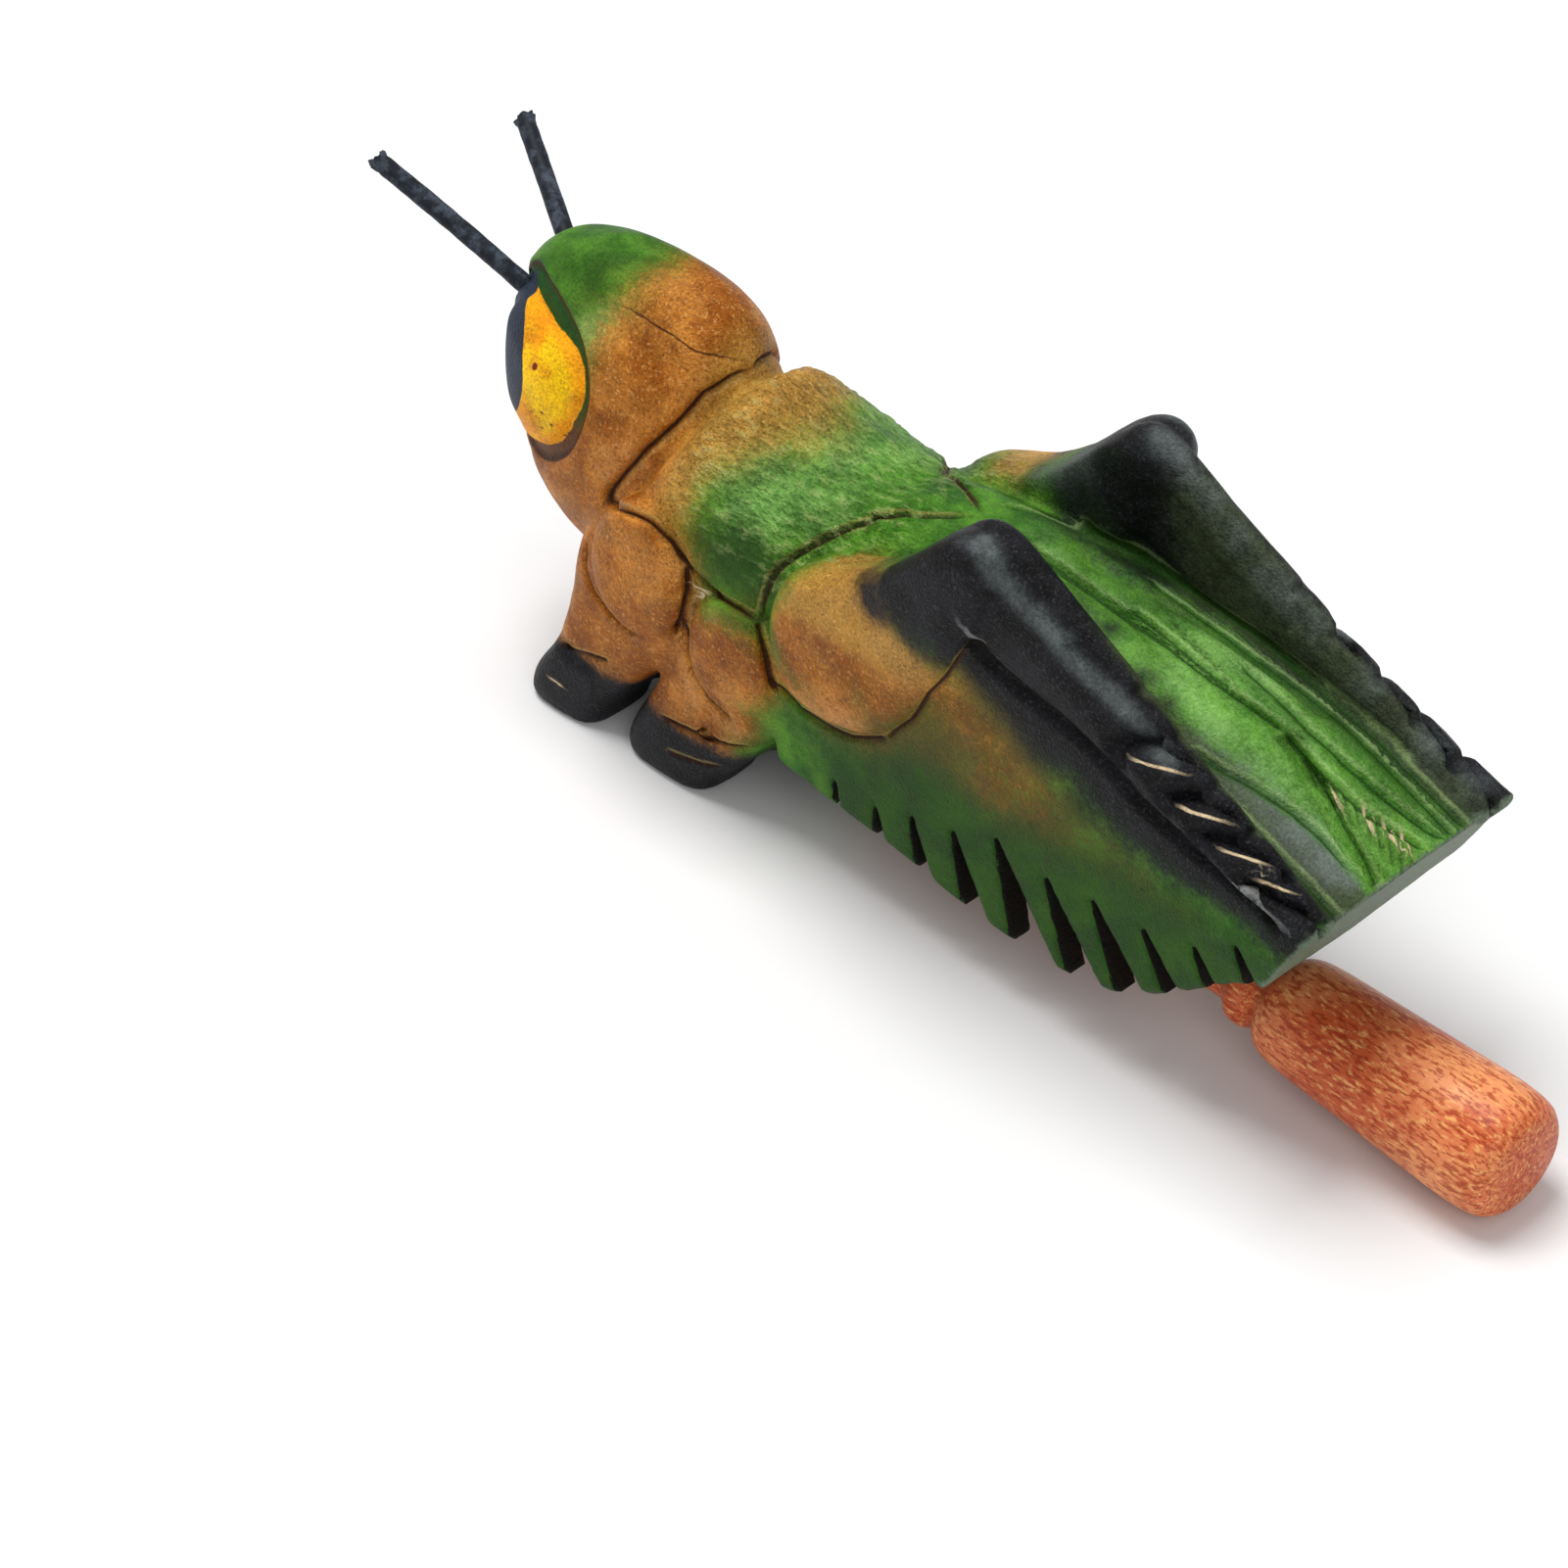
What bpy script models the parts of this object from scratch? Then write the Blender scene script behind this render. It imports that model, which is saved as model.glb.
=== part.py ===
# Carved wooden cricket guiro: one carved body, two rubber antennae and a turned striker.
# Lengths below are millimetres; the head points to -X, the insect's left side is -Y.
import math

import bmesh
import bpy
from mathutils import Matrix, Vector
from mathutils.bvhtree import BVHTree

for old in list(bpy.data.objects):
    bpy.data.objects.remove(old)

MM = 0.001
FLOW = 2                # smooth rows made from each given row of a loft
SEAT_GAP = 0.3          # clearance left around every piece that seats in the body
WELD = 0.004            # points nearer than this become one

# Head: plan ovals stacked upward, as height, front x, widest x, rear x, half width.
HEAD_RINGS = (
    (22.0, 25.0, 32.0, 42.0, 5.0),
    (25.0, 20.5, 31.0, 44.0, 9.5),
    (30.0, 15.0, 31.0, 46.0, 13.0),
    (36.0, 10.6, 31.0, 47.0, 15.0),
    (44.0, 8.2, 31.0, 49.0, 16.0),
    (52.0, 7.2, 31.5, 50.0, 15.6),
    (59.0, 6.9, 31.0, 50.5, 13.8),
    (64.5, 8.2, 31.0, 50.2, 11.4),
    (69.0, 12.4, 31.0, 48.0, 8.2),
    (72.4, 22.0, 32.0, 43.0, 4.4),
)
HEAD_CORNERS = 0.86     # below 1 squares the plan oval a little
HEAD_STEPS = 36

# Thorax: leaning arches, as x at the sill, lean, crown height, half width, keel height.
SILL_Z = 43.0
THORAX_RINGS = (
    (41.0, 0.55, 60.0, 14.0, 30.0),
    (42.5, 0.55, 63.2, 17.4, 26.0),
    (46.5, 0.50, 63.0, 18.6, 24.0),
    (57.0, 0.36, 60.8, 19.0, 24.0),
    (68.0, 0.20, 59.2, 18.6, 24.0),
    (79.0, 0.10, 58.4, 17.4, 24.0),
    (90.0, 0.00, 58.0, 14.6, 30.0),
    (97.0, 0.00, 56.0, 12.0, 36.0),
)
THORAX_STEPS = 36

# Wing cover and side panels, as x, wing crown z, valley z, panel top z, half width, hem z
# and lean of the section.
SHELL_RINGS = (
    (72.0, 56.0, 50.0, 44.0, 17.8, 14.6, 0.0),
    (84.0, 59.6, 54.5, 50.0, 18.6, 14.2, 0.0),
    (97.0, 61.4, 56.2, 57.0, 19.0, 13.4, 0.0),
    (106.0, 61.2, 56.4, 63.0, 19.1, 12.0, 0.0),
    (112.0, 60.8, 56.4, 63.4, 19.2, 11.2, 0.0),
    (122.0, 59.8, 55.8, 60.0, 19.3, 10.8, 0.0),
    (134.0, 58.0, 54.4, 56.4, 19.5, 11.8, 0.0),
    (144.0, 55.8, 52.8, 53.2, 19.7, 15.8, 0.05),
    (154.0, 52.4, 50.2, 50.0, 20.0, 22.0, 0.12),
    (163.0, 48.8, 47.4, 47.0, 20.3, 28.4, 0.25),
    (172.0, 45.2, 44.6, 44.0, 20.8, 31.4, 0.55),
)
TAIL_TOP_Z = 45.0
VALLEY_Y = 12.0
PANEL_THICK = 4.2
PANEL_BULGE = 0.2       # how far a panel swells at half height
RIM_WIDTH = 2.6         # flat rim along the top of each panel
RIM_ROUND = 0.6
EDGE_ROUND = 1.4
CROWN_ROUND = 0.5
TAIL_SAG = 2.6

# Sound hollow under the wings, as x, roof z, half width.
HOLLOW_RINGS = (
    (78.0, 43.0, 13.0),
    (84.0, 46.5, 14.0),
    (110.0, 49.0, 14.4),
    (128.0, 47.0, 14.8),
    (144.0, 42.0, 15.2),
    (154.0, 35.6, 15.6),
    (161.0, 29.6, 16.0),
    (170.0, 21.0, 16.4),
)
HOLLOW_FLOOR_Z = -6.0
# Half of its arch, as share of the half width and drop below the roof.
HOLLOW_ARCH = ((0.0, 0.0), (0.55, 0.8), (0.88, 3.5), (1.0, 7.0))

# Front legs rise from flat soles, as z, front x, rear x, outer y, inner y.
LEG_FRONT = (
    (0.0, 21.4, 34.6, 18.4, 5.2),
    (1.4, 20.4, 35.8, 19.4, 4.6),
    (5.0, 21.4, 37.4, 19.4, 4.6),
    (10.0, 24.6, 41.4, 19.0, 5.0),
    (15.0, 26.8, 45.5, 18.8, 5.4),
    (24.0, 29.5, 54.0, 19.2, 6.0),
    (34.0, 31.5, 58.0, 19.2, 6.0),
    (43.0, 37.0, 58.0, 16.0, 6.0),
)
LEG_MIDDLE = (
    (0.0, 41.6, 57.0, 17.8, 5.2),
    (1.4, 40.4, 58.6, 18.8, 4.6),
    (5.0, 41.2, 60.6, 19.2, 4.6),
    (10.0, 43.8, 65.4, 19.2, 5.0),
    (15.0, 46.6, 69.0, 19.0, 5.4),
    (24.0, 51.0, 75.0, 19.2, 6.0),
    (34.0, 55.0, 77.0, 18.8, 6.0),
    (42.0, 58.0, 76.0, 16.0, 6.0),
)
LEG_STEPS = 20
LEG_CORNERS = 0.55

# Solid keel between the legs that carries the striker's storage bore.
KEEL_X = (25.0, 80.0)
KEEL_Z = (8.0, 46.0)
KEEL_HALF = 10.0
KEEL_CHIN = (6.0, 12.0) # run and rise of the slope under the head

# Raised leg muscles, as centre x, centre z, half length, half height, turn, outer y.
LOBE_FRONT = (47.0, 36.5, 9.6, 12.2, -18.0, 21.6)
LOBE_MIDDLE = (65.4, 32.0, 8.2, 10.2, -20.0, 21.2)
LOBE_ROOT_Y = 12.0
LOBE_STEPS = 24

# Hind thigh outline seen from the side (x, z), and how far its dome stands out.
THIGH_OUTLINE = (
    (73.2, 41.0), (74.2, 47.0), (77.4, 53.0), (83.0, 56.2), (90.0, 59.4), (98.0, 65.4),
    (105.0, 72.8), (109.6, 76.0), (113.4, 76.4), (116.0, 73.4), (114.4, 65.0),
    (109.4, 54.0), (103.0, 43.6), (97.0, 36.0), (90.0, 31.8), (83.0, 30.6),
    (77.0, 32.2), (74.2, 36.0),
)
THIGH_OUTER_Y = 22.6
THIGH_ROOT_Y = 12.0
DOME_LEVELS = ((0.0, 0.88), (0.3, 0.97), (0.55, 1.0), (0.72, 0.985), (0.85, 0.94), (0.94, 0.84),
               (0.985, 0.68), (1.0, 0.4))

# Hind shin from knee to tail, as x, crest z, drop to the outer ridge, lower z, crest y.
SHIN_RINGS = (
    (103.0, 70.0, 3.0, 60.0, 14.6),
    (108.0, 75.6, 3.4, 60.6, 15.0),
    (112.4, 77.6, 3.8, 60.0, 15.2),
    (117.0, 76.0, 4.4, 58.6, 15.2),
    (125.0, 71.4, 4.8, 56.4, 15.2),
    (134.0, 66.6, 5.0, 53.8, 15.4),
    (144.0, 60.8, 4.4, 50.8, 15.8),
    (154.0, 55.6, 3.6, 47.8, 16.4),
    (164.0, 50.6, 2.6, 44.8, 17.0),
    (171.8, 46.0, 1.6, 42.8, 17.6),
)
CREST_ROUND = 0.9
SHIN_HEM = 1.0
SHIN_SECTION_Y = (-2.8, -2.6, -1.3, 0.3, 1.6, 3.6, 4.7, 4.4, 3.0)

# Rasp notches along each hem, as apex x, apex z, front x, rear x at the hem.
RASP_NOTCHES = (
    (84.6, 22.5, 84.4, 87.4), (92.4, 23.0, 93.0, 96.6), (99.6, 25.0, 101.2, 105.0),
    (107.2, 27.0, 109.8, 114.2), (115.6, 29.5, 118.4, 124.8), (125.0, 28.5, 128.8, 135.2),
    (133.4, 29.5, 138.2, 145.0), (142.2, 31.0, 148.2, 154.0), (150.8, 34.0, 156.8, 162.0),
    (158.0, 39.0, 164.0, 168.6),
)
NOTCH_DROP = 24.0
NOTCH_HEM_DROP = 13.0   # height of a notch from its apex to the hem
NOTCH_REACH = (13.0, 26.0)

# Saw notches across the shins, as x; each is a short wedge.
SHIN_NOTCH_X = (137.0, 144.0, 151.0, 158.0, 164.5)
SHIN_NOTCH_DEPTH = 1.8
SHIN_NOTCH_RUN = 5.8
SHIN_NOTCH_ABOVE = 6.0  # how far the cutter stands over the crest
SHIN_NOTCH_BACK = 3.0
SHIN_NOTCH_REACH = (13.0, 25.0)

# Carved lines drawn on the surface: half width, depth and plan or side-view points.
LINE_STEP_UP = 1.2
RAY_ABOVE = 120.0       # where drawn points start on their way to the surface
RAY_BESIDE = 60.0
WING_VEINS = (
    ((100.0, -0.6), (109.1, -0.6), (123.5, -0.7), (132.7, -2.6), (140.3, -2.0), (148.8, 0.1),
     (156.6, -2.2), (163.6, -4.6), (172.5, -7.8)),
    ((110.0, 3.4), (118.0, 5.0), (127.0, 6.6), (138.0, 8.0), (150.0, 8.6)),
    ((104.0, -8.6), (122.0, -9.4), (140.0, -9.8)),
    ((156.0, 3.4), (164.0, 5.8), (172.5, 8.4)),
)
VEIN_HALF = 1.5
VEIN_DEPTH = 1.6
EYE_OUTLINE = ((14.0, 64.0), (20.0, 62.6), (25.6, 58.6), (28.4, 52.0), (27.0, 45.4),
               (22.6, 40.4), (17.0, 38.0), (12.6, 39.6), (10.2, 44.0), (9.9, 51.0),
               (10.6, 58.0), (12.0, 62.0))
EYE_HALF = 0.9
EYE_DEPTH = 0.9
LEG_LINES = (
    ((27.0, 12.4), (37.0, 11.6)),
    ((46.0, 13.8), (62.0, 13.0)),
)
LEG_LINE_HALF = 0.7
LEG_LINE_DEPTH = 0.8

# Antennae: short rubber thongs pushed into drilled sockets in the brow.
ANTENNA_R = 1.35
ANTENNA_LEFT = ((8.2, -6.4, 62.0), (-13.2, -13.2, 75.6))
ANTENNA_RIGHT = ((8.8, 4.0, 61.8), (-11.4, 14.0, 71.2))
ANTENNA_BEND = 0.3
ANTENNA_SINK = 5.0
ANTENNA_STEPS = 16
ANTENNA_RINGS = 8

# Striker: turned stick on an axis from the bore in the keel to the resting end.
STICK_TIP = (62.0, -0.7, 16.0)
STICK_END = (197.0, -2.2, 9.08)
STICK_STEPS = 32
# Turned profile as distance from the free end and radius.
STICK_PROFILE = (
    (0.0, 3.2), (0.9, 4.1), (3.2, 4.4), (6.6, 4.3), (7.2, 3.7), (7.8, 4.3), (84.0, 4.4),
    (86.0, 5.9), (88.0, 6.3), (89.6, 5.6), (90.2, 4.4), (91.0, 4.5), (91.6, 6.2),
    (93.6, 7.5), (96.5, 8.1), (112.0, 8.8), (128.0, 9.4), (131.8, 9.1), (134.2, 7.6),
    (135.15, 5.4),
)
BORE_R = 4.4 + SEAT_GAP
BORE_TIP_GAP = 1.0
BORE_LENGTH = 24.0

PAINT_GREEN = (0.16, 0.30, 0.08)
PAINT_ROUGH = 0.38
RUBBER_BLACK = (0.02, 0.022, 0.026)
RUBBER_ROUGH = 0.7
STAIN_RED = (0.42, 0.13, 0.05)
STAIN_ROUGH = 0.35
CARVED_CREASE = 38.0    # degrees between faces from which an edge stays sharp
TURNED_CREASE = 50.0


def shaped(value, power):
    return math.copysign(abs(value) ** power, value)


def refined(rows, parts, closed=False):
    """Smooth in-between rows through the given ones, so that the carved flow has no kinks."""
    count = len(rows)
    made = []
    for k in range(count if closed else count - 1):
        if closed:
            span = [rows[(k + j) % count] for j in (-1, 0, 1, 2)]
        else:
            span = [rows[min(max(k + j, 0), count - 1)] for j in (-1, 0, 1, 2)]
        for j in range(parts):
            t = j / parts
            made.append(tuple(
                0.5 * (2 * b + (c - a) * t + (2 * a - 5 * b + 4 * c - d) * t * t
                       + (3 * b - a - 3 * c + d) * t ** 3)
                for a, b, c, d in zip(*span)))
    return made if closed else made + [tuple(rows[-1])]


def mesh_object(name, verts, faces):
    mesh = bpy.data.meshes.new(name)
    mesh.from_pydata([Vector(v) * MM for v in verts], [], faces)
    bm = bmesh.new()
    bm.from_mesh(mesh)
    bmesh.ops.recalc_face_normals(bm, faces=bm.faces)
    bm.to_mesh(mesh)
    bm.free()
    ob = bpy.data.objects.new(name, mesh)
    bpy.context.scene.collection.objects.link(ob)
    return ob


def loft(name, rings):
    """Skin closed rings of equal length and close both ends with a fan."""
    steps = len(rings[0])
    verts = [p for ring in rings for p in ring]
    faces = []
    for r in range(len(rings) - 1):
        for s in range(steps):
            t = (s + 1) % steps
            faces.append((r * steps + s, r * steps + t, (r + 1) * steps + t, (r + 1) * steps + s))
    for first, ring in ((0, rings[0]), ((len(rings) - 1) * steps, rings[-1])):
        centre = sum((Vector(p) for p in ring), Vector()) / steps
        verts.append(tuple(centre))
        for s in range(steps):
            faces.append((first + s, first + (s + 1) % steps, len(verts) - 1))
    return mesh_object(name, verts, faces)


def combine(body, tool, operation):
    """Boolean one object into the body and drop the tool."""
    mod = body.modifiers.new(tool.name, "BOOLEAN")
    mod.operation = operation
    mod.solver = "MANIFOLD"
    mod.object = tool
    graph = bpy.context.evaluated_depsgraph_get()
    made = bpy.data.meshes.new_from_object(body.evaluated_get(graph))
    body.modifiers.clear()
    body.data = made
    bpy.data.objects.remove(tool)


def drop_chips(ob):
    """Weld near points and clear away crumbs that crossing grooves cut loose."""
    bm = bmesh.new()
    bm.from_mesh(ob.data)
    bmesh.ops.triangulate(bm, faces=bm.faces)
    bmesh.ops.remove_doubles(bm, verts=bm.verts, dist=WELD * MM)
    bmesh.ops.dissolve_degenerate(bm, edges=bm.edges, dist=WELD * MM)
    islands = []
    left = set(bm.verts)
    while left:
        stack = [left.pop()]
        island = set(stack)
        while stack:
            for edge in stack.pop().link_edges:
                for vert in edge.verts:
                    if vert in left:
                        left.remove(vert)
                        island.add(vert)
                        stack.append(vert)
        islands.append(island)
    main = max(islands, key=len)
    bmesh.ops.delete(bm, geom=[v for v in bm.verts if v not in main], context="VERTS")
    bm.to_mesh(ob.data)
    bm.free()


def head():
    rings = []
    for z, front, widest, rear, half in refined(HEAD_RINGS, FLOW):
        ring = []
        for s in range(HEAD_STEPS):
            a = 2 * math.pi * s / HEAD_STEPS
            reach = widest - front if math.cos(a) > 0 else rear - widest
            x = widest - reach * shaped(math.cos(a), HEAD_CORNERS)
            ring.append((x, half * shaped(math.sin(a), HEAD_CORNERS), z))
        rings.append(ring)
    return loft("head", rings)


def thorax():
    rings = []
    for x0, lean, crown, half, keel in refined(THORAX_RINGS, FLOW):
        ring = []
        for s in range(THORAX_STEPS):
            a = 2 * math.pi * s / THORAX_STEPS
            rise = crown - SILL_Z if math.sin(a) > 0 else SILL_Z - keel
            z = SILL_Z + rise * math.sin(a)
            ring.append((x0 + lean * (z - SILL_Z), half * math.cos(a), z))
        rings.append(ring)
    return loft("thorax", rings)


def shell():
    rings = []
    for x0, crown, valley, top, outer, hem, lean in refined(SHELL_RINGS, FLOW):
        half = [(0.0, crown), (VALLEY_Y / 2, crown - CROWN_ROUND), (VALLEY_Y, valley),
                (outer - RIM_WIDTH, top), (outer - RIM_ROUND, top - EDGE_ROUND),
                (outer + PANEL_BULGE, (top + hem) / 2), (outer - PANEL_BULGE, hem + EDGE_ROUND),
                (outer - EDGE_ROUND, hem), (outer - PANEL_THICK, hem)]
        belly = [(0.0, hem - TAIL_SAG)]
        section = half + belly + [(-y, z) for y, z in reversed(half[1:])]
        rings.append([(x0 + lean * (z - TAIL_TOP_Z), y, z) for y, z in section])
    return loft("shell", rings)


def hollow():
    rings = []
    for x, roof, half in HOLLOW_RINGS:
        side = [(half * share, roof - drop) for share, drop in HOLLOW_ARCH]
        side.append((half, HOLLOW_FLOOR_Z))
        section = side + [(-y, z) for y, z in reversed(side[1:])]
        rings.append([(x, y, z) for y, z in section])
    return loft("hollow", rings)


def leg(name, profile, side):
    rings = []
    for z, front, rear, outer, inner in refined(profile, FLOW):
        ring = []
        for s in range(LEG_STEPS):
            a = 2 * math.pi * s / LEG_STEPS
            x = (front + rear) / 2 + (rear - front) / 2 * shaped(math.cos(a), LEG_CORNERS)
            y = (outer + inner) / 2 + (outer - inner) / 2 * shaped(math.sin(a), LEG_CORNERS)
            ring.append((x, side * y, z))
        rings.append(ring)
    return loft(name, rings)


def dome(name, outline, root, outer, side):
    """Side-view outline raised into a rounded cushion on one flank."""
    cx = sum(p[0] for p in outline) / len(outline)
    cz = sum(p[1] for p in outline) / len(outline)
    rings = []
    for level, size in DOME_LEVELS:
        y = side * (root + (outer - root) * level)
        rings.append([(cx + (x - cx) * size, y, cz + (z - cz) * size) for x, z in outline])
    return loft(name, rings)


def lobe(name, values, side):
    cx, cz, long_half, high_half, turn, outer = values
    c, s = math.cos(math.radians(turn)), math.sin(math.radians(turn))
    outline = []
    for k in range(LOBE_STEPS):
        a = 2 * math.pi * k / LOBE_STEPS
        u, v = long_half * math.cos(a), high_half * math.sin(a)
        outline.append((cx + c * u - s * v, cz + s * u + c * v))
    return dome(name, outline, LOBE_ROOT_Y, outer, side)


def shin(side):
    rings = []
    for x, crest, drop, low, y in refined(SHIN_RINGS, FLOW):
        heights = (low, crest - drop, crest - CREST_ROUND, crest, crest - CREST_ROUND,
                   crest - drop, (crest - drop + low) / 2, low + SHIN_HEM, low)
        rings.append([(x, side * (y + dy), z) for dy, z in zip(SHIN_SECTION_Y, heights)])
    return loft("shin", rings)


def surface(ob):
    bm = bmesh.new()
    bm.from_mesh(ob.data)
    tree = BVHTree.FromBMesh(bm)
    bm.free()
    return tree


def landed(tree, points, view, side):
    """Put drawn points on the surface: from above (x, y) or from one flank (x, z)."""
    hits = []
    for u, v in points:
        if view == "top":
            start, ray = Vector((u, v, RAY_ABOVE)), Vector((0, 0, -1))
        else:
            start, ray = Vector((u, side * RAY_BESIDE, v)), Vector((0, -side, 0))
        place, normal, _, _ = tree.ray_cast(start * MM, ray)
        if place:
            hits.append((place / MM, normal))
        else:
            last, normal = hits[-1]
            hits.append((Vector((u, v, last.z)), normal))
    return hits


def groove(name, hits, half, depth, closed=False):
    """V-shaped cutter that follows landed points."""
    rings = []
    count = len(hits)
    for k, (place, own) in enumerate(hits):
        ahead, before = hits[(k + 1) % count if closed else min(k + 1, count - 1)]
        behind, after = hits[(k - 1) % count if closed else max(k - 1, 0)]
        along = (ahead - behind).normalized()
        normal = (own * 2 + before + after).normalized()
        across = along.cross(normal).normalized() * half
        lift = normal * LINE_STEP_UP
        spread = 1.0 + LINE_STEP_UP / depth
        rings.append((tuple(place + lift + across * spread), tuple(place + lift - across * spread),
                      tuple(place - normal * depth)))
    if not closed:
        return loft(name, rings)
    verts = [p for ring in rings for p in ring]
    faces = []
    for r in range(count):
        for s in range(3):
            t, n = (s + 1) % 3, (r + 1) % count
            faces.append((r * 3 + s, r * 3 + t, n * 3 + t, n * 3 + s))
    return mesh_object(name, verts, faces)


def frame_of(axis):
    side = axis.cross(Vector((0, 1, 0))).normalized()
    return side, axis.cross(side).normalized()


def turned(name, start, end, profile, steps):
    axis = (Vector(end) - Vector(start)).normalized()
    u, v = frame_of(axis)
    rings = []
    for along, radius in profile:
        centre = Vector(start) + axis * along
        rings.append([tuple(centre + u * radius * math.cos(2 * math.pi * s / steps)
                            + v * radius * math.sin(2 * math.pi * s / steps))
                      for s in range(steps)])
    return loft(name, rings)


def rasp_notch(apex_x, apex_z, front, rear, side):
    down = apex_z - NOTCH_DROP
    stretch = NOTCH_DROP / NOTCH_HEM_DROP
    low_front = apex_x + (front - apex_x) * stretch
    low_rear = apex_x + (rear - apex_x) * stretch
    outline = ((apex_x, apex_z), (low_rear, down), (low_front, down))
    rings = [[(x, side * y, z) for x, z in outline] for y in NOTCH_REACH]
    return loft("rasp_notch", rings)


def shin_notch(x, side):
    """Short saw cut slanting back across one shin ridge."""
    near = min(SHIN_RINGS, key=lambda ring: abs(ring[0] - x))
    after = SHIN_RINGS[SHIN_RINGS.index(near) + 1]
    slope = (after[1] - near[1]) / (after[0] - near[0])
    ridge = near[1] + slope * (x - near[0])
    end = x + SHIN_NOTCH_RUN
    outline = ((x, ridge - SHIN_NOTCH_DEPTH), (x + SEAT_GAP, ridge + SHIN_NOTCH_ABOVE),
               (end + SHIN_NOTCH_BACK, ridge + SHIN_NOTCH_ABOVE),
               (end, ridge + slope * SHIN_NOTCH_RUN + SEAT_GAP))
    rings = [[(u, side * y, z) for u, z in outline] for y in SHIN_NOTCH_REACH]
    return loft("shin_notch", rings)


def antenna(ends, radius, sink):
    """Rings of one bent thong; its socket is the same run, wider and sunk deeper."""
    base, tip = (Vector(end) for end in ends)
    axis = (tip - base).normalized()
    u, v = frame_of(axis)
    start = base - axis * (ANTENNA_SINK + sink)
    length = (tip - start).length
    rings = []
    for r in range(ANTENNA_RINGS):
        f = r / (ANTENNA_RINGS - 1)
        centre = start + axis * length * f
        centre.z += ANTENNA_BEND * math.sin(math.pi * f) - ANTENNA_BEND * f
        rings.append([tuple(centre + (u * math.cos(a) + v * math.sin(a)) * radius)
                      for a in (2 * math.pi * s / ANTENNA_STEPS for s in range(ANTENNA_STEPS))])
    return rings


def material(name, colour, rough):
    mat = bpy.data.materials.new(name)
    mat.use_nodes = True
    shader = mat.node_tree.nodes["Principled BSDF"]
    shader.inputs["Base Color"].default_value = (*colour, 1.0)
    shader.inputs["Roughness"].default_value = rough
    shader.inputs["Metallic"].default_value = 0.0
    return mat


def finish(ob, name, mat, crease):
    ob.name = name
    ob.data.name = name
    ob.data.materials.clear()
    ob.data.materials.append(mat)
    ob.data.shade_smooth()
    ob.data.set_sharp_from_angle(angle=math.radians(crease))


body = thorax()
combine(body, shell(), "UNION")
combine(body, head(), "UNION")
keel_ring = ((KEEL_X[0], KEEL_Z[0]), (KEEL_X[1], KEEL_Z[0]), (KEEL_X[1], KEEL_Z[1]),
             (KEEL_X[0] + KEEL_CHIN[0], KEEL_Z[1]), (KEEL_X[0], KEEL_Z[0] + KEEL_CHIN[1]))
combine(body, loft("keel", [[(x, y, z) for x, z in keel_ring] for y in (-KEEL_HALF, KEEL_HALF)]),
        "UNION")
for side in (-1, 1):
    combine(body, leg("leg_front", LEG_FRONT, side), "UNION")
    combine(body, leg("leg_middle", LEG_MIDDLE, side), "UNION")
    combine(body, lobe("lobe_front", LOBE_FRONT, side), "UNION")
    combine(body, lobe("lobe_middle", LOBE_MIDDLE, side), "UNION")
    thigh = refined(THIGH_OUTLINE, FLOW, True)
    combine(body, dome("thigh", thigh, THIGH_ROOT_Y, THIGH_OUTER_Y, side), "UNION")
    combine(body, shin(side), "UNION")
combine(body, hollow(), "DIFFERENCE")
body.name = "carved_body"

tree = surface(body)
cutters = []
for vein in WING_VEINS:
    run = landed(tree, refined(vein, FLOW), "top", 1)
    cutters.append(groove("vein", run, VEIN_HALF, VEIN_DEPTH))
for side in (-1, 1):
    rim = landed(tree, refined(EYE_OUTLINE, FLOW, True), "side", side)
    cutters.append(groove("eye", rim, EYE_HALF, EYE_DEPTH, closed=True))
    for line in LEG_LINES:
        cutters.append(groove("leg_line", landed(tree, line, "side", side), LEG_LINE_HALF,
                              LEG_LINE_DEPTH))
for cutter in cutters:
    combine(body, cutter, "DIFFERENCE")
for side in (-1, 1):
    for notch in RASP_NOTCHES:
        combine(body, rasp_notch(*notch, side), "DIFFERENCE")
    for x in SHIN_NOTCH_X:
        combine(body, shin_notch(x, side), "DIFFERENCE")
for ends in (ANTENNA_LEFT, ANTENNA_RIGHT):
    combine(body, loft("socket", antenna(ends, ANTENNA_R + SEAT_GAP, SEAT_GAP)), "DIFFERENCE")
bore = ((-BORE_TIP_GAP, BORE_R), (BORE_LENGTH, BORE_R))
combine(body, turned("bore", STICK_TIP, STICK_END, bore, STICK_STEPS), "DIFFERENCE")

drop_chips(body)

antennae = [loft("antenna", antenna(ends, ANTENNA_R, 0.0))
            for ends in (ANTENNA_LEFT, ANTENNA_RIGHT)]
striker = turned("striker", STICK_TIP, STICK_END, STICK_PROFILE, STICK_STEPS)

# The drawing frame moves so that the middle of the resting plane becomes the origin.
pieces = [body, *antennae, striker]
corners = [v.co for ob in pieces for v in ob.data.vertices]
low = Vector(min(c[k] for c in corners) for k in range(3))
high = Vector(max(c[k] for c in corners) for k in range(3))
move = Vector((-(low.x + high.x) / 2, -(low.y + high.y) / 2, -low.z))
for ob in pieces:
    ob.data.transform(Matrix.Translation(move))

paint = material("painted_wood", PAINT_GREEN, PAINT_ROUGH)
rubber = material("black_rubber", RUBBER_BLACK, RUBBER_ROUGH)
stain = material("stained_wood", STAIN_RED, STAIN_ROUGH)
finish(body, "carved_body", paint, CARVED_CREASE)
for ob, name in zip(antennae, ("antenna_left", "antenna_right")):
    finish(ob, name, rubber, TURNED_CREASE)
finish(striker, "striker", stain, TURNED_CREASE)
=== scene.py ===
import math

import bmesh
import bpy
import numpy as np
from mathutils import Matrix, Vector


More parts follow.
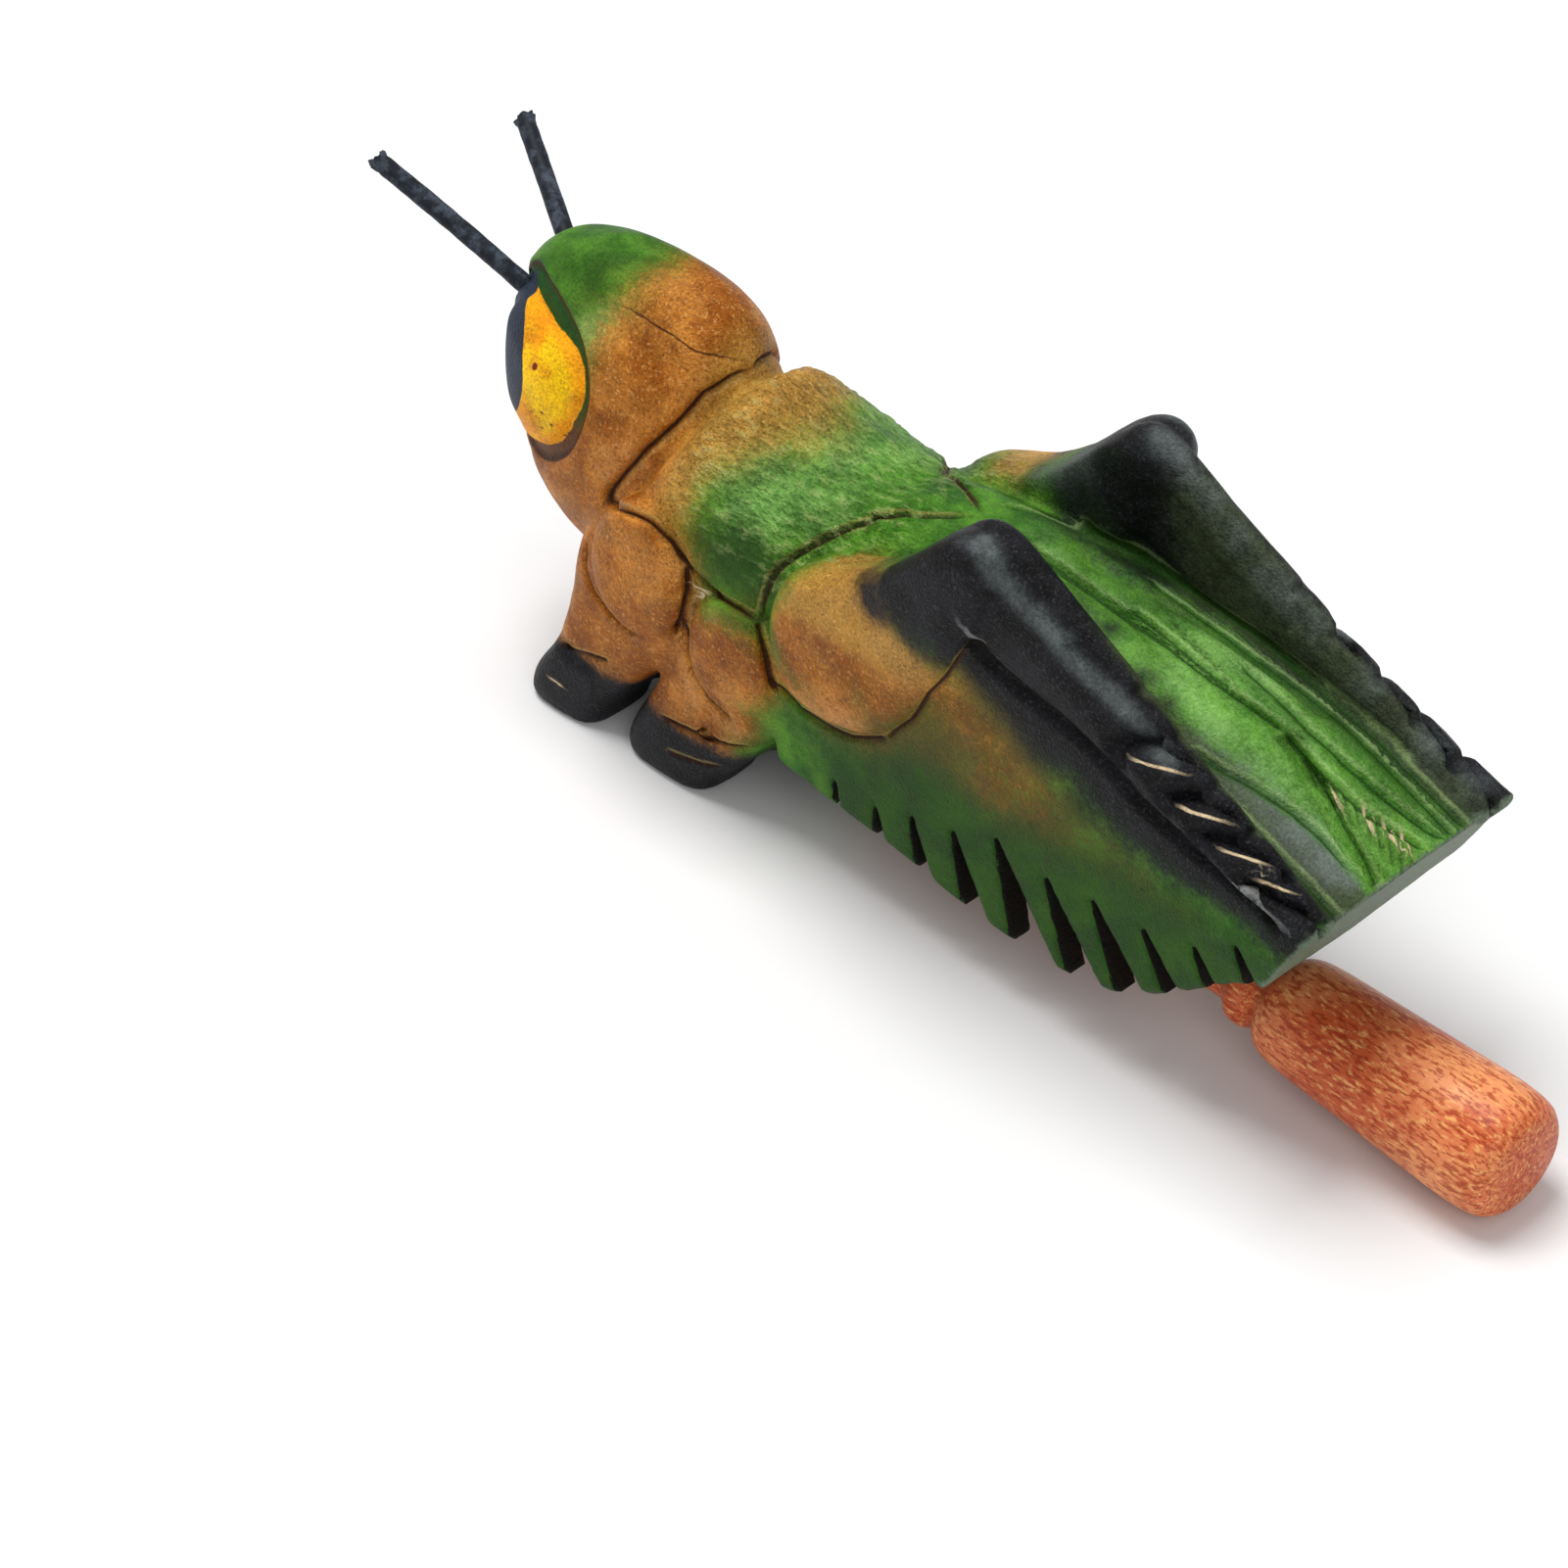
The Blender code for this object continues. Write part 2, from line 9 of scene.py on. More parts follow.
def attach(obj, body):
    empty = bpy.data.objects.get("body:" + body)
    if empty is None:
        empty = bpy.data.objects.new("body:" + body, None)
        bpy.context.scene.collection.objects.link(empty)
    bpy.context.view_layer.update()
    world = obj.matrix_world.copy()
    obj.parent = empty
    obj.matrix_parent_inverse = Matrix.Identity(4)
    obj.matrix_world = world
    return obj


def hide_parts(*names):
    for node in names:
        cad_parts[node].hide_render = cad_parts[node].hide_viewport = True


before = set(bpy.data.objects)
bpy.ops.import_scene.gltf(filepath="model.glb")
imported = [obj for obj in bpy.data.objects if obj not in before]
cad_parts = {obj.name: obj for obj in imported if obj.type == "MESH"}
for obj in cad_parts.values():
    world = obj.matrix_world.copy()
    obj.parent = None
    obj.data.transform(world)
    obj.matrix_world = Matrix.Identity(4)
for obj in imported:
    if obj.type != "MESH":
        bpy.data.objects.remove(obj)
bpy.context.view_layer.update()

# Carved body. One block of light wood, sawn, hollowed underneath and cut with knives and
# gouges: head, thorax, four front legs, hind legs and wings are all the same piece, so it
# stays one mesh. Strokes are millimetres in the part's drawing, which sits DRAWN_X away.
DRAWN_X = -91.6327
MM = 0.001
FINE_CELL, QUICK_CELL = 0.42, 0.62
CELL = FINE_CELL
ROUNDING_PASSES = 30
BODY_TRIANGLES = 192000
MERGE = 1e-6
FAR = 1e3
LATTICE = 32
noise_seed = np.random.default_rng(7)
noise_lattice = noise_seed.random((LATTICE, LATTICE, LATTICE))


def value_noise(points, scale, shift=0.0):
    """Smooth random values from -1 to 1, with bumps about as wide as scale."""
    q = points / scale + shift
    cell = np.floor(q).astype(int)
    f = q - cell
    f = f * f * (3 - 2 * f)
    total = np.zeros(len(points))
    for dx in (0, 1):
        for dy in (0, 1):
            for dz in (0, 1):
                corner = tuple(((cell + (dx, dy, dz)) % LATTICE).T)
                nearness = np.abs(1 - np.array((dx, dy, dz)) - f).prod(1)
                total += noise_lattice[corner] * nearness
    return total * 2 - 1


def smooth(value, low, high):
    """Rises softly from 0 at low to 1 at high, or falls where low is above high."""
    t = np.clip((value - low) / (high - low), 0, 1)
    return t * t * (3 - 2 * t)


# A drawn line may float this far off the rounded skin before its cut grows fainter.
LINE_FLOAT = 0.8


def along_line(points, line, reach, normals=None):
    """Distance of each point from a drawn line, its place along it, 0 to 1, and, where
    normals are given, the distance with a sign for the side of the line that it lies on."""
    line = np.array(line, float)
    found = np.full(len(points), FAR)
    place = np.zeros(len(points))
    signed = np.full(len(points), FAR)
    near = np.all((points > line.min(0) - reach) & (points < line.max(0) + reach), axis=1)
    p = points[near]
    best, where, sided = found[near], place[near], signed[near]
    lengths = np.linalg.norm(np.diff(line, axis=0), axis=1)
    done = np.concatenate(([0], np.cumsum(lengths)))
    for k in range(len(line) - 1):
        a, d = line[k], line[k + 1] - line[k]
        t = np.clip((p - a) @ d / (d @ d), 0, 1)
        off = p - a - t[:, None] * d
        if normals is not None:
            rise = np.einsum("ij,ij->i", off, normals[near])
            off -= np.clip(rise, -LINE_FLOAT, LINE_FLOAT)[:, None] * normals[near]
        gap = np.linalg.norm(off, axis=1)
        closer = gap < best
        if normals is not None:
            side = np.sign(np.einsum("ij,ij->i", np.cross(normals[near], d), off))
            sided = np.where(closer, gap * np.where(side == 0, 1, side), sided)
        best = np.where(closer, gap, best)
        where = np.where(closer, (done[k] + t * lengths[k]) / done[-1], where)
    found[near], place[near], signed[near] = best, where, sided
    return found, place, signed


def mesh_points(mesh, kind="co"):
    out = np.zeros(len(mesh.vertices) * 3, np.float32)
    mesh.vertices.foreach_get(kind, out)
    return out.reshape(-1, 3).astype(float)


def mesh_edges(mesh):
    out = np.zeros(len(mesh.edges) * 2, np.int32)
    mesh.edges.foreach_get("vertices", out)
    return out.reshape(-1, 2)


def neighbour_mean(values, edges, count):
    """The mean of the values at the points that each point shares an edge with."""
    total = np.zeros_like(values)
    for k in range(values.shape[1]):
        total[:, k] = np.bincount(edges[:, 0], values[edges[:, 1], k], len(values)) \
            + np.bincount(edges[:, 1], values[edges[:, 0], k], len(values))
    return total / np.maximum(count, 1)[:, None]


def normals_of(mesh, drawn):
    """Moves the mesh to the drawn places and gives its normals there."""
    mesh.vertices.foreach_set("co", ((drawn + (DRAWN_X, 0, 0)) * MM).astype(np.float32).ravel())
    mesh.update()
    return mesh_points(mesh, "normal")


def in_scene(name, data):
    made = bpy.data.objects.new(name, data)
    bpy.context.scene.collection.objects.link(made)
    return made


def baked(ob):
    """The evaluated mesh of an object as a plain mesh, with the modifiers gone."""
    graph = bpy.context.evaluated_depsgraph_get()
    made = bpy.data.meshes.new_from_object(ob.evaluated_get(graph))
    ob.modifiers.clear()
    old = ob.data
    ob.data = made
    bpy.data.meshes.remove(old)
    return made


body_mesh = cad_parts["carved_body"].data.copy()
merged = bmesh.new()
merged.from_mesh(body_mesh)
bmesh.ops.remove_doubles(merged, verts=merged.verts, dist=MERGE)
merged.to_mesh(body_mesh)
merged.free()
body = in_scene("cricket_body", body_mesh)
regrow = body.modifiers.new("even skin", "REMESH")
regrow.mode = "VOXEL"
regrow.voxel_size = CELL * MM
body_mesh = baked(body)

drawn = mesh_points(body_mesh) / MM - (DRAWN_X, 0, 0)
edges = mesh_edges(body_mesh)
valence = np.bincount(edges.ravel(), minlength=len(drawn)).astype(float)

# Places of the rasp teeth, the shins, the tail's slant, the hollow and the drilled holes.
TEETH_TOP = ((78, 88, 100, 110, 125, 142, 158, 174), (22, 25, 27.5, 30, 32.5, 34.5, 42, 44.5))
SHIN_FLOOR = ((96, 104, 112, 117, 123, 134, 142, 150, 160, 174),
              (70, 64, 60.5, 58.4, 57, 54.4, 50.8, 49, 47.2, 44.4))
TAIL_LEAN = 0.55
HOLLOW_ROOF = ((78, 84, 110, 128, 144, 154, 161, 170),
               (43, 46.5, 49, 47, 42, 35.6, 29.6, 21))
STICK_AXIS = ((62.0, -0.7, 16.0), (197.0, -2.2, 9.08))
ANTENNA_ROOTS = ((8.2, -6.4, 62.0), (8.8, 4.0, 61.8))


def zones(p):
    """Masks of the places that stay different: teeth, end of the tail, shins and hollow."""
    side = np.abs(p[:, 1])
    teeth = smooth(np.interp(p[:, 0], *TEETH_TOP) + 1 - p[:, 2], -1.5, 1.5) \
        * smooth(side, 13.5, 15) * smooth(p[:, 0], 79, 82)
    tail = smooth(p[:, 0] - (172 + TAIL_LEAN * (p[:, 2] - 45)), -2.6, -0.8)
    shin = smooth(p[:, 2] - np.interp(p[:, 0], *SHIN_FLOOR), -0.6, 0.9) \
        * smooth(side, 11.8, 13.2) * smooth(p[:, 0], 97, 106)
    inside = smooth(side, 15.2, 14.2) * smooth(p[:, 0], 76.5, 78.5) \
        * smooth(np.interp(p[:, 0], *HOLLOW_ROOF) + 1.2 - p[:, 2], -0.4, 0.6)
    return teeth, tail, shin, inside


def flanked(p, follow=None):
    """The same places seen on the left flank, so that one stroke serves both sides. With
    places to follow, p holds directions, turned over wherever the place was."""
    if follow is None:
        return np.stack((p[:, 0], -np.abs(p[:, 1]), p[:, 2]), 1)
    return np.stack((p[:, 0], np.where(follow[:, 1] > 0, -p[:, 1], p[:, 1]), p[:, 2]), 1)


teeth, tail, shin, inside = zones(drawn)
stick_gap = along_line(drawn, STICK_AXIS, 12)[0]
root_gap = np.minimum(*(np.linalg.norm(drawn - r, axis=1) for r in ANTENNA_ROOTS))
# Knife grooves, as half width, depth and points. Those of the flanks are cut on both sides.
FLANK_CUTS = {
    "neck": (1.5, 1.3, (
        (50.3, 0, 63.4), (49.9, -3.1, 63.3), (48.1, -7.2, 61.5), (46.6, -9.5, 58.2),
        (44.7, -11.6, 54.9), (42.5, -13.4, 51.8), (39.8, -14.7, 47.5), (37.3, -15.3, 43.6),
        (35.5, -15.3, 40.1))),
    "sill": (1.3, 1.5, (
        (36.5, -15.6, 41.2), (40, -17.8, 44.2), (44.4, -20, 46.4), (49.5, -20, 47.2),
        (54, -19.4, 45.4), (56.6, -19, 41.9), (61, -18.7, 40.2), (66, -19.4, 40.6),
        (70.7, -19.1, 40.2))),
    "leg_gap": (1.3, 1.4, (
        (56.3, -19.1, 41.7), (56.8, -19.2, 36.8), (55.3, -18.8, 31.9), (53.4, -18.6, 28.4))),
    "crescent_front": (0.9, 1.0, (
        (34.2, -18.4, 34.4), (34.9, -18.8, 30.3), (37.2, -19.2, 27), (40.4, -19.4, 24.9),
        (44.6, -19.6, 24.2), (48, -19.8, 25.4))),
    "crescent_rear": (0.9, 1.0, (
        (55, -18.4, 31), (55.2, -18.7, 27), (57.2, -19.1, 23.2), (60.2, -19.2, 20.4),
        (64.6, -19.2, 19.2))),
    "toe_front": (0.7, 0.8, (
        (28.6, -17.5, 11.7), (34.9, -18.8, 14.4), (39, -18.7, 15.4))),
    "toe_rear": (0.7, 0.8, (
        (50.6, -19, 11.6), (55.6, -19.1, 12.3), (60.9, -18.5, 12.9), (66.9, -17.9, 14.8))),
    "toe_rear_low": (0.5, 0.5, (
        (52.2, -19.2, 5.9), (57.5, -19.1, 7.4), (61.6, -18.3, 8.3))),
    "lobe_rear": (1.1, 1.2, (
        (70.7, -19.1, 40.2), (72, -19.8, 37.5), (73, -19.6, 34.2), (73.4, -18.7, 29.7))),
    "thigh_front": (0.9, 0.7, (
        (70.7, -19.2, 40), (70.4, -18.5, 42.5), (71.2, -18.1, 45.9), (72.6, -16.7, 49.3),
        (75.6, -14, 52.8), (78.4, -10.6, 55.4), (81.1, -7, 57.4), (87.6, -4.2, 59.9),
        (92.4, -1.6, 60.9))),
    "thigh_low": (1.0, 0.9, (
        (71.8, -19.5, 38.4), (72.6, -19, 34), (73.6, -18.7, 30.1), (78.7, -18.6, 28.3),
        (83.8, -18.8, 28.7), (88.7, -18.9, 29.8), (95.9, -19.1, 33.7))),
    "thigh_back": (1.1, 0.8, (
        (95.9, -19.1, 33.7), (100.6, -19.2, 40.1), (104.9, -20.2, 47.6), (107.4, -20, 51.2),
        (111.4, -19.9, 58.6))),
    "under_shin": (1.7, 1.5, (
        (110.9, -20, 60.8), (113.1, -18.9, 57.6), (116.8, -18.9, 56.4), (122.7, -18.9, 54.9),
        (128.6, -19, 54), (134.7, -19.1, 52.1), (141.9, -19.3, 48.9), (150.1, -19.6, 47),
        (160.8, -20.4, 45.8), (168.7, -20.8, 43.8))),
}
HEAD_CRACK = (0.6, 0.3, (
    (31.7, -7.9, 69.2), (37, -7.7, 69.2), (42.4, -7.2, 68.3), (45.5, -6.5, 67.3),
    (48.7, -3.8, 66.4), (49.8, -1.2, 65.2)))
TOP_CUTS = {
    "vein": (1.2, 1.2, (
        (97, -0.4, 60.9), (107, -0.3, 60.4), (117.2, -0.3, 59), (124.4, -0.4, 58.4),
        (133, -1, 58.1), (137.6, -0.8, 57.3), (143.8, 0.1, 55.4), (148.8, 1, 53.8))),
    "valley": (1.9, 2.3, (
        (148.8, 1, 53.8), (153.1, 0.1, 52.4), (157.5, -1, 51.2), (162.7, -3, 48.7),
        (167.4, -4.4, 46.9), (172, -5.6, 45))),
    "branch": (0.9, 0.9, (
        (148.8, 1, 53.8), (156.9, 0.2, 51.6), (163.4, 0.6, 49), (171, 3.6, 45.7))),
    "leaf": (0.9, 0.9, (
        (122, 0.6, 59.1), (128.9, 0.2, 58.8), (133.6, 0, 58.1), (139, 0.2, 57))),
    "ridge_low": (1.2, 1.0, (
        (143, -10.6, 53.6), (147, -10, 52.9), (151.6, -8.9, 52.1), (157.5, -7.6, 50.4),
        (162.9, -7, 48.5), (167.5, -6.6, 46.6))),
    "channel_far": (2.3, 0.9, (
        (118, 8.6, 58), (127.7, 9.1, 56.8), (136.1, 9, 55.4), (144, 9.8, 53.8),
        (152.2, 10.2, 51.4), (161.6, 9.7, 48.4), (172, 9.1, 45))),
    "channel_mid": (1.5, 0.8, (
        (138, 4.6, 56.6), (150.5, 3.8, 53.7), (156.3, 4.4, 50.7), (163.2, 5.9, 47.1),
        (171, 7.7, 44.4))),
    "wing_far": (1.2, 1.1, (
        (95.5, 4.6, 60.7), (99.5, 7.8, 60), (104.4, 12, 57.4), (112, 12.7, 57.2),
        (123.4, 12.8, 56.1), (134.6, 12.7, 54.8), (146.7, 12.3, 52.3), (156.2, 12.6, 49.7),
        (164.8, 12, 47), (172, 11.7, 44.4))),
    "wing_near": (1.2, 0.9, (
        (97, -5.4, 60.4), (104.4, -11.6, 57.4), (112, -12.4, 57.2), (123.4, -12.8, 56.1),
        (134.6, -12.8, 54.8), (146.7, -13, 52.3), (156.2, -13.2, 49.7), (164.8, -13.6, 47),
        (172, -14, 44.4))),
}
CRISP = ("neck", "thigh_front", "lobe_rear", "thigh_low", "under_shin", "sill")

# The rounding of the edges by knife and sandpaper: strong on the free forms, none on sawn
# teeth, feet and holes.
SOFTENING = 0.5
share = SOFTENING * (1 - 0.93 * teeth) * (1 - 0.9 * tail) * (1 - 0.72 * shin)
notched = smooth(drawn[:, 0], 131, 135) * smooth(np.abs(drawn[:, 1]), 12, 13.5) \
    * smooth(drawn[:, 2] - np.interp(drawn[:, 0], *SHIN_FLOOR), -1, 1)
share *= (1 - 0.93 * notched) * smooth(drawn[:, 2], 0.4, 2.5) * smooth(stick_gap, 6, 9) \
    * smooth(root_gap, 2.5, 5)
for name in CRISP:
    crease_gap = along_line(flanked(drawn), FLANK_CUTS[name][2], 5)[0]
    share *= 0.25 + 0.75 * smooth(crease_gap, 0.6, 3.2)
for _ in range(round(ROUNDING_PASSES * (FINE_CELL / CELL) ** 2)):
    drawn += (neighbour_mean(drawn, edges, valence) - drawn) * share[:, None]

# The eye, drawn flat in the plane that it faces: along EYE_AIM and up.
EYE_AIM = (0.909, -0.416)
EYE_SOCKET = (
    (9.6, 62.6), (12.5, 65.6), (16.2, 66.8), (22.5, 66.2), (26.8, 64.9), (30.6, 62.9),
    (33.1, 60.2), (34.5, 57.6), (35.2, 54.2), (34.4, 49.6), (31.8, 44.8), (26.6, 40.6),
    (21.6, 39.6), (16.4, 40.6), (12.4, 43.6), (9.6, 48.6), (8.4, 54.6), (8.4, 59.4))
EYE_YELLOW = (
    (11.4, 61.4), (14.2, 63.4), (16.9, 63.3), (21.3, 62.7), (27.6, 61.6), (30.7, 60.2),
    (32.9, 57.6), (33.5, 54.6), (32.0, 49.8), (29.0, 45.2), (25.0, 42.8), (20.6, 42.0),
    (16.4, 43.0), (13.0, 45.8), (10.9, 50.2), (10.2, 55.4), (10.3, 59.2))
EYE_PUPIL = (
    (13.8, 64.8), (17.6, 61.9), (20.6, 59.4), (22.8, 56.4), (23.9, 53.0), (23.6, 49.6),
    (21.6, 46.9), (18.4, 46.0), (15.2, 47.4), (13.2, 50.6), (12.3, 54.6), (11.8, 58.8),
    (12.0, 62.4))
EYE_GLINT = (13.6, 56.4, 1.3)


def outline_gap(u, v, outline):
    """Signed distance from a flat closed outline drawn smoothly through its points, negative
    inside."""
    ring = np.array(outline, float)
    for _ in range(2):
        after, later, before = (np.roll(ring, k, axis=0) for k in (-1, -2, 1))
        between = (9 * (ring + after) - before - later) / 16
        ring = np.stack((ring, between), 1).reshape(-1, 2)
    gap = np.full(len(u), FAR)
    inside = np.zeros(len(u), bool)
    q = np.stack((u, v), 1)
    for a, b in zip(ring, np.roll(ring, -1, axis=0)):
        d = b - a
        t = np.clip((q - a) @ d / (d @ d), 0, 1)
        gap = np.minimum(gap, np.linalg.norm(q - a - t[:, None] * d, axis=1))
        crosses = ((a[1] > v) != (b[1] > v)) \
            & (u < d[0] * (v - a[1]) / (d[1] if d[1] else 1e-9) + a[0])
        inside ^= crosses
    return np.where(inside, -gap, gap)


def eye_plane(p):
    """Each place as the eye's drawing has it, and whether it lies on the front of the head."""
    q = flanked(p)
    return q[:, 0] * EYE_AIM[0] + q[:, 1] * EYE_AIM[1], q[:, 2], q[:, 0] < 33


# How far from a cut its signed distance is kept, for the lines painted along it.
CUT_REACH = 3.0


def knife(points, normals, cuts, taper=0.06, narrow=1.0):
    """All the V cuts at each point: their depth, a mask of their bottoms, and the signed
    distance from the nearest one with a mask of where that distance counts."""
    depth, floor, near = (np.zeros(len(points)) for _ in range(3))
    signed = np.full(len(points), CUT_REACH)
    for half, deep, line in cuts:
        half *= narrow
        gap, place, side = along_line(points, line, 4, normals)
        ends = smooth(np.minimum(place, 1 - place), -0.02, taper)
        cut = np.clip(1 - gap / half, 0, 1) ** 1.15 * ends
        depth = np.maximum(depth, cut * deep)
        floor = np.maximum(floor, np.clip(1.35 * cut - 0.25, 0, 1))
        near = np.maximum(near, smooth(gap, 1.9, 1.1) * (0.15 + 0.85 * ends))
        signed = np.where(gap < np.abs(signed), side, signed)
    return depth, floor, np.clip(signed, -CUT_REACH, CUT_REACH), near


def chisel_rows():
    """Short repeated knife marks: the fan at the wing's tail and the leaf's hatching."""
    rows = []
    for k in range(11):
        t = k / 10
        x, y, z = 152.5 + 17 * t, 0.4 + 2.4 * t * t, 52.7 - 6.8 * t
        rows.append((0.5, 0.7, ((x, y, z), (x + 2.2, y - 1.3 - t, z - 0.7),
                                (x + 4.6, y - 2.2 - 2.6 * t, z - 1.7))))
    for k in range(7):
        x = 126 + 2.1 * k
        rows.append((0.45, 0.4, ((x, 3.6 - 0.2 * k, 59.3 - 0.13 * k),
                                 (x + 5.2, 1.4 - 0.25 * k, 58.6 - 0.2 * k))))
    return rows


def chop_marks():
    """The chopped edge in front of the thigh, with marks of uneven length and slant."""
    rows = []
    spine = np.array(FLANK_CUTS["thigh_front"][2][2:])
    for k in range(26):
        t = k / 25 * (len(spine) - 1.001)
        i = int(t)
        at = spine[i] + (spine[i + 1] - spine[i]) * (t - i)
        run = (spine[i + 1] - spine[i]) / np.linalg.norm(spine[i + 1] - spine[i])
        length = 1.8 + 1.5 * noise_seed.random()
        lift = np.array((-1.1, -0.3, 1.1)) * (0.2 + 0.9 * noise_seed.random())
        rows.append((0.4, 0.35, (tuple(at + lift - run * length * 0.5),
                                 tuple(at + lift * 0.4 + run * length))))
    return rows


# Lines of paint alone, with no cut: a painted highlight along the hem of the shins, and slivers
# where the wood shows.
SHIN_EDGE_HIGHLIGHT = (0.6, 0, (
    (110.9, -22, 64.2), (113.1, -18.7, 58.6), (116.8, -18.7, 57.4), (122.7, -18.8, 55.9),
    (128.6, -18.9, 55.2), (134.7, -19, 53.3), (141.9, -19.2, 49.8), (150.1, -19.4, 48.1),
    (160.8, -21.2, 47), (168.7, -21.2, 45.2)))
SHIN_CHIPS = (((139.5, -20.1, 56.1), (148.3, -17.9, 57.1)),
              ((147.9, -20.3, 53.1), (156.4, -18, 53.6)),
              ((155.5, -20.5, 50.6), (162.8, -18, 50.6)),
              ((162, -20.1, 49.1), (167.1, -17.4, 47.9)),
              ((26.6, -19.2, 6), (30.2, -19.3, 5.9)),
              ((56.7, -18.7, 38.9), (60.6, -19.2, 39.5)),
              ((57.1, -18, 36.6), (59.4, -19, 38.4)))
FAN_CHIPS = (((158, 0, 51.2), (161.5, -1.6, 49.8)), ((162, 1.4, 49.4), (166.5, -1, 47.6)),
             ((165, 2, 48), (169.6, 0.2, 46.3)), ((167.4, 3, 47), (171.2, 1.4, 45.6)))

# The cuts by hand, each wandering a little from its drawn line.
STROKE_WOBBLE = 0.35
normal = normals_of(body_mesh, drawn)
wobble = np.stack([value_noise(drawn, 9, s) for s in (3.1, 7.7, 11.3)], 1) * STROKE_WOBBLE
flank = flanked(drawn) + wobble
flank_normal = flanked(normal, drawn)
upward = smooth(normal[:, 2], -0.2, 0.3)
brown_cuts = [cut for name, cut in FLANK_CUTS.items() if name != "under_shin"]
flank_depth, floor, cut, flank_near = knife(flank, flank_normal, brown_cuts, 0.06, 0.8)
drawn_on = {"groove": floor, "cut": cut, "cut near": flank_near}
hem_depth = knife(flank, flank_normal, (FLANK_CUTS["under_shin"],))[0]
flank_depth = np.maximum(flank_depth, hem_depth)
crack_depth, _, drawn_on["crack"], drawn_on["crack near"] = knife(
    drawn, normal, (HEAD_CRACK,), 0.2)
top_depth, floor, cut, top_near = knife(drawn + wobble * 0.25, normal, TOP_CUTS.values(), 0.03)
drawn_on.update({"vein": floor * upward, "vein cut": cut, "vein cut near": top_near * upward})
fine_depth, fine_floor, _, _ = knife(drawn, normal, chisel_rows(), 0.2)
chop_depth, chop_floor, _, chop_near = knife(flanked(drawn), flank_normal, chop_marks(), 0.2)
drawn_on["fine"] = np.maximum(fine_floor * upward, chop_floor)
thigh_gap = along_line(flanked(drawn), FLANK_CUTS["thigh_front"][2], 4)[0]
drawn_on["rough"] = 0.6 * smooth(thigh_gap, 1.9, 0.7) * smooth(drawn[:, 2], 43, 47) \
    * smooth(drawn[:, 0], 87, 83)
slivers = [knife(drawn, normal, [(0.5, 0, line) for line in lines], 0.3)
           for lines in (SHIN_CHIPS, FAN_CHIPS)]
closer = np.abs(slivers[0][2]) < np.abs(slivers[1][2])
drawn_on["chip"] = np.where(closer, slivers[0][2], slivers[1][2])
drawn_on["chip near"] = np.where(closer, slivers[0][3], slivers[1][3] * upward) \
    * smooth(np.abs(drawn_on["chip"]), 1.0, 0.7)
_, _, drawn_on["hem"], drawn_on["hem near"] = knife(flanked(drawn), flank_normal, (SHIN_EDGE_HIGHLIGHT,))
lift = -flank_depth - (top_depth + fine_depth) * upward - chop_depth - crack_depth

# The ball of the eye swells out of a carved socket.
EYE_BULGE, SOCKET_DEPTH = 1.5, 1.1
u, v, front = eye_plane(drawn)
facing = front & (0.91 * np.abs(normal[:, 1]) - 0.42 * normal[:, 0] > 0)
socket_gap = outline_gap(u, v, EYE_SOCKET)
ball_gap = outline_gap(u, v, EYE_YELLOW)
socket = smooth(-socket_gap, -0.8, 0.9) * smooth(ball_gap, -1.2, 0.6)
ball = smooth(-ball_gap, -0.3, 6.5)
lift += np.where(facing, ball * EYE_BULGE - socket * SOCKET_DEPTH, 0)

# Saw cuts across the shins, slanting inward: sharp valleys with a rounded back between them.
SAW_CUTS, SAW_HALF, SAW_DEPTH, SAW_SLANT = (135.1, 144.8, 152.5, 162.0), 3.4, 2.8, 2.6
sawn = drawn[:, 0] - SAW_SLANT * np.clip(21 - np.abs(drawn[:, 1]), 0, 5)
saw = np.max([np.clip(1 - np.abs(sawn - at) / SAW_HALF, 0, 1) ** 1.7 for at in SAW_CUTS], axis=0)
lift -= SAW_DEPTH * saw * smooth(np.abs(drawn[:, 1]), 15, 17) \
    * smooth(drawn[:, 2] + 0.36 * (drawn[:, 0] - 135), 53, 56) * smooth(normal[:, 2], -0.5, 0.0)

# Gouge ripples: short shallow facets over the back of the thorax, softer ones elsewhere.
GOUGE_DEPTH, FACET_DEPTH = 0.3, 0.05
back = smooth(drawn[:, 0], 48, 54) * smooth(drawn[:, 0], 94, 84) * smooth(drawn[:, 2], 42, 47) \
    * smooth(np.abs(drawn[:, 1]), 20, 16)
turned = drawn @ np.array(((0.80, 0.60, 0), (-0.60, 0.80, 0), (0, 0, 1)))
ripple = value_noise(turned * (0.42, 1.35, 1.0), 1.25, 5.0)
facets = value_noise(drawn, 3.2, 2.0)
drawn_on["ripple"] = back
lift += (GOUGE_DEPTH * back * ripple + FACET_DEPTH * (1 + back) * facets) * (1 - inside) \
    * smooth(drawn[:, 2], 0.5, 3) * (1 - 0.8 * tail) * smooth(stick_gap, 6, 9) \
    * smooth(root_gap, 2, 3)
drawn += normal * lift[:, None]
drawn[:, 2] = np.maximum(drawn[:, 2], 0.0)

# How hollow or proud each place is, which tells where the hollows get painted shade and where
# paint wears thin.
HOLLOW_UNIT = 0.05
hollowness = np.einsum("ij,ij->i", neighbour_mean(
    drawn - neighbour_mean(drawn, edges, valence), edges, valence), normals_of(body_mesh, drawn))
for _ in range(3):
    hollowness = neighbour_mean(hollowness[:, None], edges, valence)[:, 0]
drawn_on["pit"] = hollowness / HOLLOW_UNIT * (1 - 0.6 * shin)


def keep_on(mesh, masks):
    """Stores masks and distances on the mesh, one number a point, for the material."""
    for name, values in masks.items():
        stored = mesh.attributes.new(name, "FLOAT", "POINT")
        stored.data.foreach_set("value", np.asarray(values, np.float32))


keep_on(body_mesh, drawn_on)

